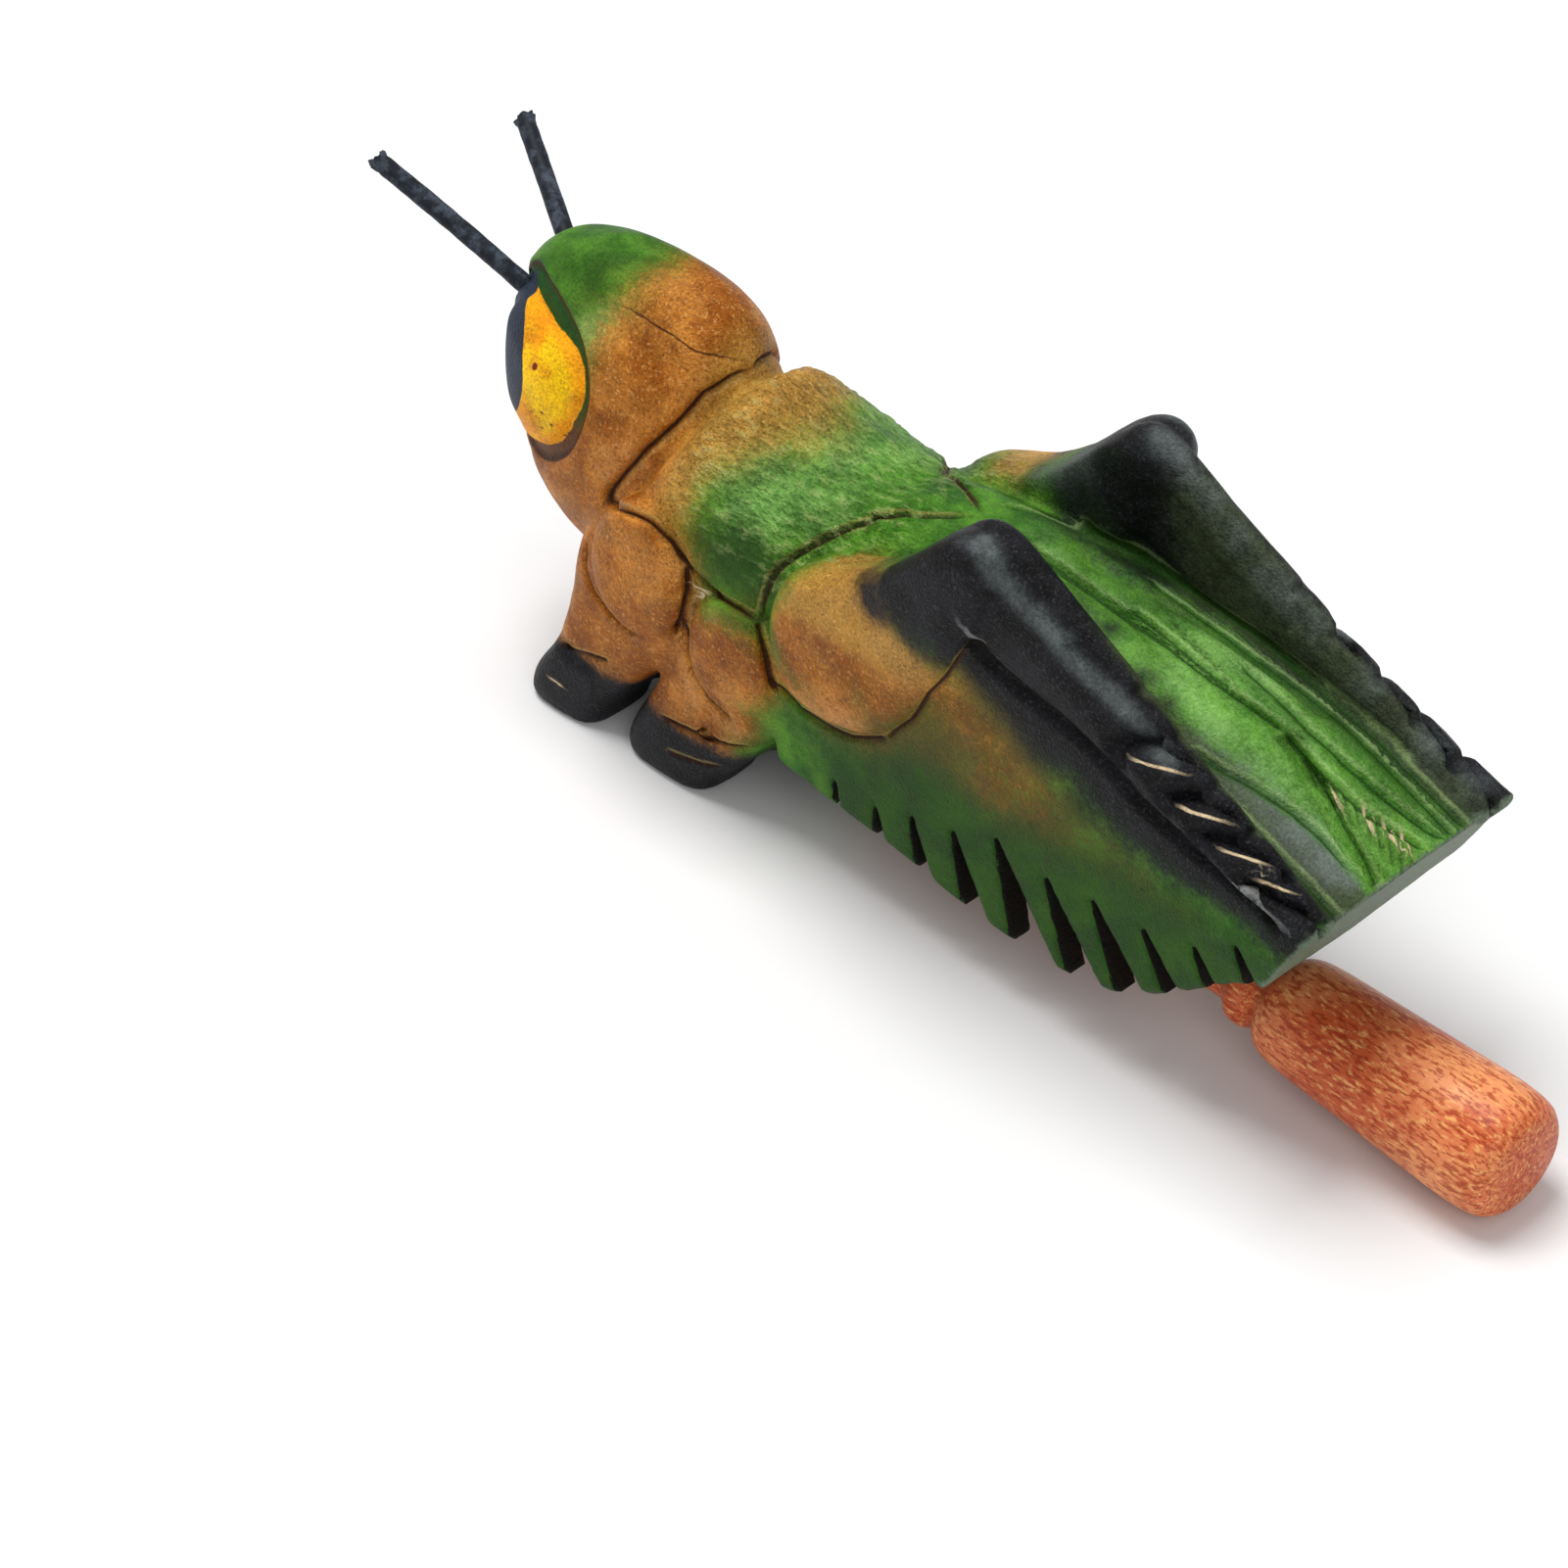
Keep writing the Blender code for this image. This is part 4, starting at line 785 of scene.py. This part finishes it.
# Ragged spray: a soft mask whose edge breaks up into the speckle of an airbrush.
speckle, g_in, g_out = group("ragged spray", (("Mask", FLOAT, 0.0), ("Place", VECTOR, None),
                                              ("Grain", FLOAT, 900.0), ("Amount", FLOAT, 0.5)),
                             (("Mask", FLOAT),))
fine = grain(speckle, g_in["Place"], g_in["Grain"], 3.0, 0.65)
edge_share = math_node(speckle, "MULTIPLY", math_node(speckle, "SUBTRACT", fine, 0.5),
                       g_in["Amount"])
spread = math_node(speckle, "MULTIPLY", g_in["Mask"],
                   math_node(speckle, "SUBTRACT", 1.0, g_in["Mask"]))
shifted = math_node(speckle, "MULTIPLY_ADD", math_node(speckle, "MULTIPLY", spread, 4.0),
                    edge_share, g_in["Mask"])
speckle.links.new(ramp(speckle, shifted, -0.04, 1.0), g_out["Mask"])

# Mottling: paint laid unevenly over the wood, in patches of two sizes.
mottle, g_in, g_out = group("mottled colour", (("Colour", COLOUR, None), ("Place", VECTOR, None),
                                               ("Patch", FLOAT, 160.0), ("Amount", FLOAT, 0.3)),
                            (("Colour", COLOUR), ("Height", FLOAT)))
wide = grain(mottle, g_in["Place"], g_in["Patch"], 4.0)
small = grain(mottle, g_in["Place"], 2300.0, 2.0, 0.7)
both = math_node(mottle, "ADD", math_node(mottle, "MULTIPLY", wide, 0.45),
                 math_node(mottle, "MULTIPLY", small, 0.55))
swing = math_node(mottle, "MULTIPLY", math_node(mottle, "SUBTRACT", both, 0.5),
                  math_node(mottle, "MULTIPLY", g_in["Amount"], 4.0))
value = node(mottle, "ShaderNodeHueSaturation", Color=g_in["Colour"],
             Value=math_node(mottle, "ADD", 1.0, swing))
mottle.links.new(value.outputs["Color"], g_out["Colour"])
mottle.links.new(both, g_out["Height"])

# Every finish here is matt or nearly so, and throws little light back.
SHEEN = 0.12


def new_finish(name, roughness, coat, coat_roughness):
    made = bpy.data.materials.new(name)
    made.use_nodes = True
    shader = made.node_tree.nodes["Principled BSDF"]
    shader.inputs["Roughness"].default_value = roughness
    shader.inputs["Specular IOR Level"].default_value = SHEEN
    shader.inputs["Coat Weight"].default_value = coat
    shader.inputs["Coat Roughness"].default_value = coat_roughness
    return made, made.node_tree, shader


def on_object(tree):
    return node(tree, "ShaderNodeTexCoord").outputs["Object"]


def mottled(colour, amount):
    """Mottles the finished colour, hands it to the shader and gives the mottling's height."""
    final = placed(tree, mottle, Colour=colour, Place=place, Amount=amount)
    tree.links.new(final["Colour"], shader.inputs["Base Color"])
    return final["Height"]


def bumped(height, strength, distance):
    bump = node(tree, "ShaderNodeBump", Height=height, Strength=strength, Distance=distance)
    tree.links.new(bump.outputs["Normal"], shader.inputs["Normal"])


def times(a, b):
    return math_node(tree, "MULTIPLY", a, b)


def over(below, mask, above, strength=1.0):
    """One paint laid over what is below it, as far as a mask and a strength say."""
    made = tree.nodes.new("ShaderNodeMix")
    made.data_type = "RGBA"
    for at, value in ((0, times(mask, strength)), (6, below), (7, above)):
        put(tree, made.inputs[at], value)
    return made.outputs[2]


paint, tree, shader = new_finish("painted_wood", 0.45, 0.0, 0.3)
place = on_object(tree)


def patches(scale, low=0.36, high=0.64, detail=4.0):
    return ramp(tree, grain(tree, place, scale, detail), low, high)


def coat(below, name, above, strength=1.0, ragged=0.6):
    """One paint sprayed over what is below it, through the mask of that name."""
    mask = placed(tree, speckle, Mask=layer(tree, name), Place=place, Amount=ragged)["Mask"]
    return over(below, mask, above, strength)


# Base green in patches, painted shade in dark green, paler paint with painted highlights, then
# olive, brown and black paint, painted shade on the slopes and a grey painted sheen.
green = over(sprayed(36, 94, 8), patches(150.0), sprayed(80, 134, 34))
# Painted shade: dark green sprayed through the deep mask.
green = coat(green, "deep", sprayed(28, 66, 6), 0.92)
# Paler paint and painted highlight through the light mask.
colour = coat(green, "light", sprayed(132, 182, 96), 0.85, 1.0)
colour = coat(colour, "olive", sprayed(84, 74, 26), 0.9, 0.8)
freckles = patches(1900.0, 0.56, 0.68, 1.0)
orange = over(sprayed(142, 76, 6), patches(120.0), sprayed(188, 120, 44))
orange = over(orange, patches(60.0, 0.5, 0.7), sprayed(196, 140, 84), 0.6)
orange = over(orange, layer(tree, "tan"), sprayed(186, 150, 66), 0.55)
orange = over(orange, freckles, sprayed(104, 50, 6), 0.5)
orange = over(orange, patches(1700.0, 0.54, 0.7, 2.0), sprayed(222, 168, 96), 0.45)
colour = coat(colour, "orange", orange, 1.0, 0.7)
black = over(sprayed(9, 8, 10), patches(240.0), sprayed(24, 24, 29))
black = over(black, patches(2100.0, 0.54, 0.7, 2.0), sprayed(66, 66, 72), 0.5)
colour = coat(colour, "black", black, 1.0, 0.9)
# Painted shade on the slopes of the wings.
colour = coat(colour, "slope_shade", sprayed(66, 76, 50), 0.9, 1.2)
# Painted sheen: bluish grey over the black.
colour = coat(colour, "painted_sheen", sprayed(112, 120, 120), 0.6, 0.8)

# Worn crests, where the paint is thin, and painted shade darkening the hollows.
pit = layer(tree, "pit")
worn = times(ramp(tree, pit, 0.6, 1.6), patches(500.0, 0.36, 0.56))
colour = over(colour, worn, sprayed(184, 178, 140), 0.34)
colour = over(colour, ramp(tree, pit, -0.45, -1.5), sprayed(30, 24, 8), 0.7)
speck = grain(tree, place, 420.0, 2.0, 0.5)
warp = times(math_node(tree, "SUBTRACT", speck, 0.5), 0.7)


def stroke(below, name, above, width, strength=1.0, core=0.35, waver=0.25, beside=0.0):
    """A crisp line along the bottom of a cut, or beside it, from its signed distance."""
    gap = math_node(tree, "MULTIPLY_ADD", warp, waver, layer(tree, name))
    gap = math_node(tree, "ABSOLUTE", math_node(tree, "SUBTRACT", gap, beside))
    line = times(ramp(tree, gap, width, width * core), layer(tree, name + " near"))
    return over(below, line, above, strength)


def lip(below, name, above, beside, width, strength):
    """A pale line along one side of a cut."""
    return stroke(below, name, above, width, strength, 0.0, 1.0, beside)


# Lines in the cuts, the rough chopped edge, the hem of the shins and the chipped slivers.
colour = over(colour, layer(tree, "groove"), sprayed(74, 36, 10), 0.45)
colour = stroke(colour, "cut", sprayed(50, 22, 6), 0.42, 0.92)
colour = lip(colour, "cut", sprayed(200, 170, 100), 0.75, 0.4, 0.3)
colour = over(colour, layer(tree, "vein"), sprayed(38, 92, 8), 0.5)
colour = stroke(colour, "crack", sprayed(70, 34, 12), 0.22, 0.9)
colour = stroke(colour, "vein cut", sprayed(22, 56, 6), 0.34, 0.75)
colour = lip(colour, "vein cut", sprayed(160, 190, 120), 1.0, 0.5, 0.35)
rough, rough_mask = grain(tree, place, 850.0, 2.0), layer(tree, "rough")
colour = over(colour, times(rough_mask, ramp(tree, rough, 0.52, 0.4)), sprayed(44, 40, 6))
colour = over(colour, times(rough_mask, ramp(tree, rough, 0.56, 0.68)), sprayed(150, 148, 84))
colour = over(colour, layer(tree, "fine"), sprayed(24, 40, 8), 0.7)
# Painted highlight: a thin pale grey line along the lower edge of the shins.
colour = stroke(colour, "hem", sprayed(132, 134, 134), 0.55, 0.75)
# Painted shade: the side walls of the rasp slots dark, found from the faces' own normals.
faces = node(tree, "ShaderNodeNewGeometry").outputs["True Normal"]
faces = node(tree, "ShaderNodeSeparateXYZ", Vector=faces).outputs
slot_shade = times(ramp(tree, math_node(tree, "ABSOLUTE", faces["Y"]), 0.75, 0.5),
             ramp(tree, faces["Z"], -0.75, -0.55))
colour = over(colour, times(slot_shade, layer(tree, "teeth")), sprayed(11, 13, 7))
colour = over(colour, layer(tree, "tail"), sprayed(104, 120, 100))
colour = over(colour, layer(tree, "inside"), sprayed(30, 26, 18))
colour = stroke(colour, "chip", sprayed(206, 184, 148), 0.3)

# The eye: ring, yellow ball with an orange rim and dots, pupil and white glint.
ring_gap = layer(tree, "socket")
height_up = node(tree, "ShaderNodeSeparateXYZ", Vector=place).outputs["Z"]
ring = over(sprayed(26, 70, 22), ramp(tree, height_up, 54 * MM, 47 * MM), sprayed(92, 58, 34))
ring = over(ring, ramp(tree, ring_gap, -1.3, -0.3), sprayed(56, 26, 14))
colour = over(colour, ramp(tree, math_node(tree, "ADD", ring_gap, warp), 0.25, -0.1), ring, 0.9)
eye_edge = math_node(tree, "ADD", layer(tree, "eye"), warp)
yellow = over(sprayed(250, 200, 12), patches(110.0, 0.42, 0.62), sprayed(242, 152, 10))
yellow = over(yellow, freckles, sprayed(190, 90, 6), 0.35)
yellow = over(yellow, ramp(tree, eye_edge, -2.2, -0.2, 0.0, 0.7), sprayed(238, 138, 10))
colour = over(colour, ramp(tree, eye_edge, 0.05, -0.12), yellow)
colour = over(colour, ramp(tree, layer(tree, "dots"), 0.12, -0.1), sprayed(120, 36, 10))
pupil_edge = math_node(tree, "MULTIPLY_ADD", warp, 0.5, layer(tree, "pupil"))
colour = over(colour, ramp(tree, pupil_edge, 0.1, -0.05), sprayed(44, 52, 66))
colour = over(colour, ramp(tree, layer(tree, "glint"), 0.08, -0.08), sprayed(236, 236, 232))

# Thorax ripples: a wrinkle pattern gives painted highlight on its crests and painted shade in its
# troughs over the gouge ripples, and a bump.
wrinkled = node(tree, "ShaderNodeMapping", Vector=place, Rotation=(0, 0, math.radians(-38)),
                Scale=(0.45, 1.3, 1.0)).outputs["Vector"]
wrinkle, ripple = grain(tree, wrinkled, 820.0, 3.0), layer(tree, "ripple")
colour = over(colour, times(ramp(tree, wrinkle, 0.5, 0.68), ripple), sprayed(178, 190, 120), 0.3)
colour = over(colour, times(ramp(tree, wrinkle, 0.5, 0.36), ripple), sprayed(34, 48, 6), 0.35)
mottling = mottled(colour, 0.7)
tree.links.new(ramp(tree, mottling, 0.3, 0.7, 0.36, 0.56), shader.inputs["Roughness"])
bumped(math_node(tree, "MULTIPLY_ADD", times(wrinkle, 2.4), ripple, mottling), 1.0, 0.6 * MM)
body_mesh.materials.clear()
body_mesh.materials.append(paint)
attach(body, "root")
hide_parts("carved_body")

# Striker. A stick turned on a lathe from red-stained hardwood: thin shaft in the hollow,
# bead, waist and a plump handle. Varnished, with the grain running along it.
STICK_PROFILE = (
    (0.0, 0.6), (0.3, 2.6), (0.9, 3.7), (2.0, 4.2), (3.2, 4.4), (6.5, 4.35), (6.9, 3.9),
    (7.3, 3.7), (7.7, 3.9), (8.1, 4.35), (40.0, 4.4), (84.0, 4.4), (85.0, 4.7), (86.2, 5.7),
    (87.4, 6.2), (88.4, 6.2), (89.4, 5.7), (90.1, 4.7), (90.5, 4.45), (91.0, 4.6),
    (91.5, 5.6), (92.4, 6.8), (93.8, 7.6), (96.5, 8.1), (104.0, 8.5), (112.0, 8.8),
    (120.0, 9.15), (127.0, 9.4), (130.0, 9.3), (132.0, 9.0), (133.4, 8.3), (134.4, 7.2),
    (134.9, 6.2), (135.15, 5.0), (135.15, 0.05))
STICK_LENGTH, STICK_THICKEST = (max(column) for column in zip(*STICK_PROFILE))
LATHE_ROUND, LATHE_ALONG = 72, 420


def in_part(point):
    """A place of the drawing as metres in the part's own frame."""
    return Vector((point[0] + DRAWN_X, point[1], point[2])) * MM


def path_inputs(tree, sizes):
    """A path comes in, a solid goes out; the sizes and the finish are named inputs."""
    new_socket = tree.interface.new_socket
    new_socket(name="Geometry", in_out="INPUT", socket_type="NodeSocketGeometry")
    for label, kind, value in sizes:
        new_socket(name=label, in_out="INPUT", socket_type=kind).default_value = value
    new_socket(name="Finish", in_out="INPUT", socket_type="NodeSocketMaterial")
    new_socket(name="Geometry", in_out="OUTPUT", socket_type="NodeSocketGeometry")
    return tree.nodes.new("NodeGroupInput").outputs


def path_result(tree, mesh, finish):
    """Ends the tree of a path with real geometry that wears its finish."""
    real = node(tree, "GeometryNodeRealizeInstances", Geometry=mesh)
    node(tree, "NodeGroupOutput", Geometry=node(
        tree, "GeometryNodeSetMaterial", Geometry=real.outputs["Geometry"],
        Material=finish).outputs["Geometry"])


def lathe_tree():
    """Turns a straight line into a lathed stick, its radius read along its length."""
    made = bpy.data.node_groups.new("turned stick", "GeometryNodeTree")
    given = path_inputs(made, (("Steps Round", "NodeSocketInt", LATHE_ROUND),
                               ("Steps Along", "NodeSocketInt", LATHE_ALONG),
                               ("Thickest Radius", "NodeSocketFloat", STICK_THICKEST * MM)))
    line = node(made, "GeometryNodeMeshToCurve", Mesh=given["Geometry"])
    line = node(made, "GeometryNodeResampleCurve", Curve=line.outputs["Curve"],
                Count=given["Steps Along"])
    share = node(made, "GeometryNodeSplineParameter")
    shape = node(made, "ShaderNodeFloatCurve", Value=share.outputs["Factor"])
    curve = shape.mapping.curves[0]
    while len(curve.points) < len(STICK_PROFILE):
        curve.points.new(0.5, 0.5)
    for point, (at, radius) in zip(curve.points, STICK_PROFILE):
        point.location = (at / STICK_LENGTH, radius / STICK_THICKEST)
        point.handle_type = "AUTO_CLAMPED"
    shape.mapping.update()
    size = math_node(made, "MULTIPLY", shape.outputs["Value"], given["Thickest Radius"])
    section = node(made, "GeometryNodeCurvePrimitiveCircle", Radius=1.0,
                   Resolution=given["Steps Round"])
    swept = node(made, "GeometryNodeCurveToMesh", Curve=line.outputs["Curve"],
                 Profile_Curve=section.outputs["Curve"], Scale=size, Fill_Caps=True)
    path_result(made, swept.outputs["Mesh"], given["Finish"])
    return made


def with_inputs(ob, shared, **values):
    """Puts a geometry tree on an object and sets its inputs by their socket identifiers."""
    mod = ob.modifiers.new(shared.name, "NODES")
    mod.node_group = shared
    for socket in shared.interface.items_tree:
        key = socket.name.replace(" ", "_")
        if getattr(socket, "in_out", "") == "INPUT" and key in values:
            mod[socket.identifier] = values[key]


def line_object(name, points):
    mesh = bpy.data.meshes.new(name)
    mesh.from_pydata(points, [(k, k + 1) for k in range(len(points) - 1)], [])
    return in_scene(name, mesh)


stick_ends = [in_part(end) for end in STICK_AXIS]
wood, tree, shader = new_finish("red_wood", 0.4, 0.1, 0.25)
place = on_object(tree)
to_level = (stick_ends[1] - stick_ends[0]).rotation_difference(Vector((1, 0, 0))).to_euler()
level = node(tree, "ShaderNodeMapping", Vector=place, Rotation=to_level)
stretched = node(tree, "ShaderNodeMapping", Vector=level.outputs["Vector"],
                 Scale=(0.3, 1.0, 1.0)).outputs["Vector"]
streak = grain(tree, stretched, 1700.0, 4.0, 0.62)
fleck = grain(tree, stretched, 1900.0, 3.0)
cloud = grain(tree, place, 70.0, 3.0, 0.5)
colour = over(sprayed(202, 92, 52), ramp(tree, cloud, 0.35, 0.65), sprayed(238, 152, 100))
colour = over(colour, ramp(tree, fleck, 0.5, 0.66, 0.0, 0.8), sprayed(244, 180, 110))
colour = over(colour, ramp(tree, streak, 0.52, 0.4), sprayed(158, 46, 22), 0.75)
mottled(colour, 0.12)
bumped(streak, 0.25, 0.2 * MM)
striker = line_object("striker_stick", stick_ends)
with_inputs(striker, lathe_tree(), Steps_Round=LATHE_ROUND, Steps_Along=LATHE_ALONG,
            Thickest_Radius=STICK_THICKEST * MM, Finish=wood)
baked(striker).shade_smooth()
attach(striker, "root")
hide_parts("striker")

# Antennae. Two thongs cut from black rubber tube and pushed into drilled sockets in the
# brow; their outer ends are snipped off a little ragged, with the tube's hole showing.
ANTENNA_TIPS = {"antenna_left": (-13.2, -13.2, 75.6), "antenna_right": (-11.4, 14.0, 71.2)}
ANTENNA_RADIUS, ANTENNA_BEND, ANTENNA_SINK, SNIP = 1.42 * MM, 0.3 * MM, 4.9 * MM, 0.5 * MM
HOLE_SHARE, HOLE_DEPTH = 0.45, 2.2 * MM


def thong_tree():
    """Sweeps a cut rubber tube along a path: named radius, bend and roughness of the snip."""
    made = bpy.data.node_groups.new("rubber thong", "GeometryNodeTree")
    given = path_inputs(made, (("Radius", "NodeSocketFloat", ANTENNA_RADIUS),
                               ("Bend", "NodeSocketFloat", ANTENNA_BEND),
                               ("Snip", "NodeSocketFloat", SNIP),
                               ("Seed", "NodeSocketFloat", 0.0)))

    def add(kind, **inputs):
        return node(made, kind, **inputs)

    path = add("GeometryNodeMeshToCurve", Mesh=given["Geometry"])
    path = add("GeometryNodeResampleCurve", Curve=path.outputs["Curve"], Count=60)
    share = add("GeometryNodeSplineParameter").outputs["Factor"]
    sag = math_node(made, "SUBTRACT", math_node(made, "SINE", math_node(
        made, "MULTIPLY", share, math.pi)), share)
    offset = add("ShaderNodeCombineXYZ", Z=math_node(made, "MULTIPLY", sag, given["Bend"]))
    path = add("GeometryNodeSetPosition", Geometry=path.outputs["Curve"],
               Offset=offset.outputs["Vector"])
    kept = add("GeometryNodeStoreNamedAttribute", Geometry=path.outputs["Geometry"],
               Name="along", Value=share)
    section = add("GeometryNodeCurvePrimitiveCircle", Resolution=28, Radius=given["Radius"])
    lumps = add("ShaderNodeTexNoise", Scale=420.0, Detail=2.0)
    thick = math_node(made, "MULTIPLY_ADD", lumps.outputs["Fac"], 0.16, 0.92)
    tube = add("GeometryNodeCurveToMesh", Curve=kept.outputs["Geometry"],
               Profile_Curve=section.outputs["Curve"], Scale=thick, Fill_Caps=True)
    # The hole in the outer end: its face is set in, then pushed down the tube.
    where = add("GeometryNodeInputNamedAttribute", Name="along").outputs["Attribute"]
    rim = add("GeometryNodeExtrudeMesh", Mesh=tube.outputs["Mesh"], Offset_Scale=0.0,
              Selection=math_node(made, "GREATER_THAN", where, 0.9999))
    narrowed = add("GeometryNodeScaleElements", Geometry=rim.outputs["Mesh"],
                   Selection=rim.outputs["Top"], Scale=HOLE_SHARE)
    hole = add("GeometryNodeExtrudeMesh", Mesh=narrowed.outputs["Geometry"],
               Selection=rim.outputs["Top"], Offset_Scale=-HOLE_DEPTH)
    # The ragged snip: noise that pulls the last of the tube about, different for each seed.
    seeded = add("ShaderNodeCombineXYZ", X=given["Seed"], Y=given["Seed"])
    spot, pull, moved = (add("ShaderNodeVectorMath") for _ in range(3))
    pull.operation, moved.operation = "SUBTRACT", "SCALE"
    put(made, spot.inputs[0], add("GeometryNodeInputPosition").outputs[0])
    put(made, spot.inputs[1], seeded.outputs["Vector"])
    torn = add("ShaderNodeTexNoise", Vector=spot.outputs["Vector"], Scale=900.0, Detail=1.0)
    put(made, pull.inputs[0], torn.outputs["Color"])
    put(made, pull.inputs[1], (0.5, 0.5, 0.5))
    near_tip = add("ShaderNodeMapRange", Value=where, From_Min=0.94, From_Max=1.0)
    reach = math_node(made, "MULTIPLY", near_tip.outputs["Result"], given["Snip"])
    put(made, moved.inputs[0], pull.outputs["Vector"])
    put(made, moved.inputs["Scale"], math_node(made, "MULTIPLY", reach, 5.0))
    ragged = add("GeometryNodeSetPosition", Geometry=hole.outputs["Mesh"],
                 Offset=moved.outputs["Vector"])
    path_result(made, ragged.outputs["Geometry"], given["Finish"])
    return made


rubber, tree, shader = new_finish("black_rubber", 0.55, 0.0, 0.3)
place = on_object(tree)
scuff = grain(tree, place, 520.0, 4.0, 0.65)
mottled(over(sprayed(32, 35, 42), ramp(tree, scuff, 0.42, 0.68), sprayed(70, 78, 90)), 0.25)
tree.links.new(ramp(tree, scuff, 0.3, 0.7, 0.45, 0.7), shader.inputs["Roughness"])
bumped(scuff, 0.3, 0.3 * MM)
thong = thong_tree()
for seed, (root, (name, tip)) in enumerate(zip(ANTENNA_ROOTS, ANTENNA_TIPS.items())):
    root, tip = in_part(root), in_part(tip)
    inner = root - (tip - root).normalized() * ANTENNA_SINK
    antenna = line_object(name + "_thong", [inner, tip])
    with_inputs(antenna, thong, Radius=ANTENNA_RADIUS, Bend=ANTENNA_BEND, Snip=SNIP,
                Seed=seed * 0.37, Finish=rubber)
    baked(antenna).shade_smooth()
    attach(antenna, "root")
    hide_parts(name)

# Floor, backdrop and lamps of a plain pale studio, with the camera at the photograph's angle.
FLOOR_HALF, FLOOR_WHITE, SKY_LIGHT = 3, 0.86, 0.42
floor_mesh = bpy.data.meshes.new("floor")
corners = [(x * FLOOR_HALF, y * FLOOR_HALF, 0) for x, y in ((-1, -1), (1, -1), (1, 1), (-1, 1))]
floor_mesh.from_pydata(corners, [], [(0, 1, 2, 3)])
floor = in_scene("floor", floor_mesh)
white, _, shader = new_finish("pale_floor", 0.9, 0.0, 0.5)
shader.inputs["Base Color"].default_value = (FLOOR_WHITE,) * 3 + (1,)
floor_mesh.materials.append(white)

world = bpy.data.worlds.new("studio")
bpy.context.scene.world = world
world.use_nodes = True
sky = world.node_tree.nodes["Background"]
sky.inputs["Color"].default_value = (1, 1, 1, 1)
sky.inputs["Strength"].default_value = SKY_LIGHT


def lamp(name, stand, aim, size, power):
    data = bpy.data.lights.new(name, "AREA")
    data.size = size
    data.energy = power
    made = in_scene(name, data)
    made.location = stand
    made.rotation_euler = (Vector(aim) - Vector(stand)).to_track_quat("-Z", "Y").to_euler()


lamp("key_softbox", (-0.3, -0.05, 1.3), (0, 0, 0.03), 0.7, 15.0)
lamp("fill_softbox", (0.9, -0.6, 0.9), (0, 0, 0.03), 0.6, 3.0)

# Camera of the photograph, found by fitting the drawing's corners to it.
CAMERA_AZIMUTH, CAMERA_ELEVATION = math.radians(45), math.radians(39.5)
CAMERA_PLACE = in_part((491.4, -434.8, 498.6))
FRAME_PIXELS, FOCAL_PIXELS, SENSOR = 1601, 5500, 36.0
back = Vector((math.sin(CAMERA_AZIMUTH) * math.cos(CAMERA_ELEVATION),
               -math.cos(CAMERA_AZIMUTH) * math.cos(CAMERA_ELEVATION),
               math.sin(CAMERA_ELEVATION)))
right = Vector((math.cos(CAMERA_AZIMUTH), math.sin(CAMERA_AZIMUTH), 0))
camera_data = bpy.data.cameras.new("camera")
camera_data.sensor_width = SENSOR
camera_data.lens = SENSOR * FOCAL_PIXELS / FRAME_PIXELS
camera = in_scene("camera", camera_data)
turn = Matrix((right, back.cross(right), back)).transposed().to_4x4()
camera.matrix_world = Matrix.Translation(CAMERA_PLACE) @ turn
bpy.context.scene.camera = camera
bpy.context.scene.view_settings.view_transform = "Standard"
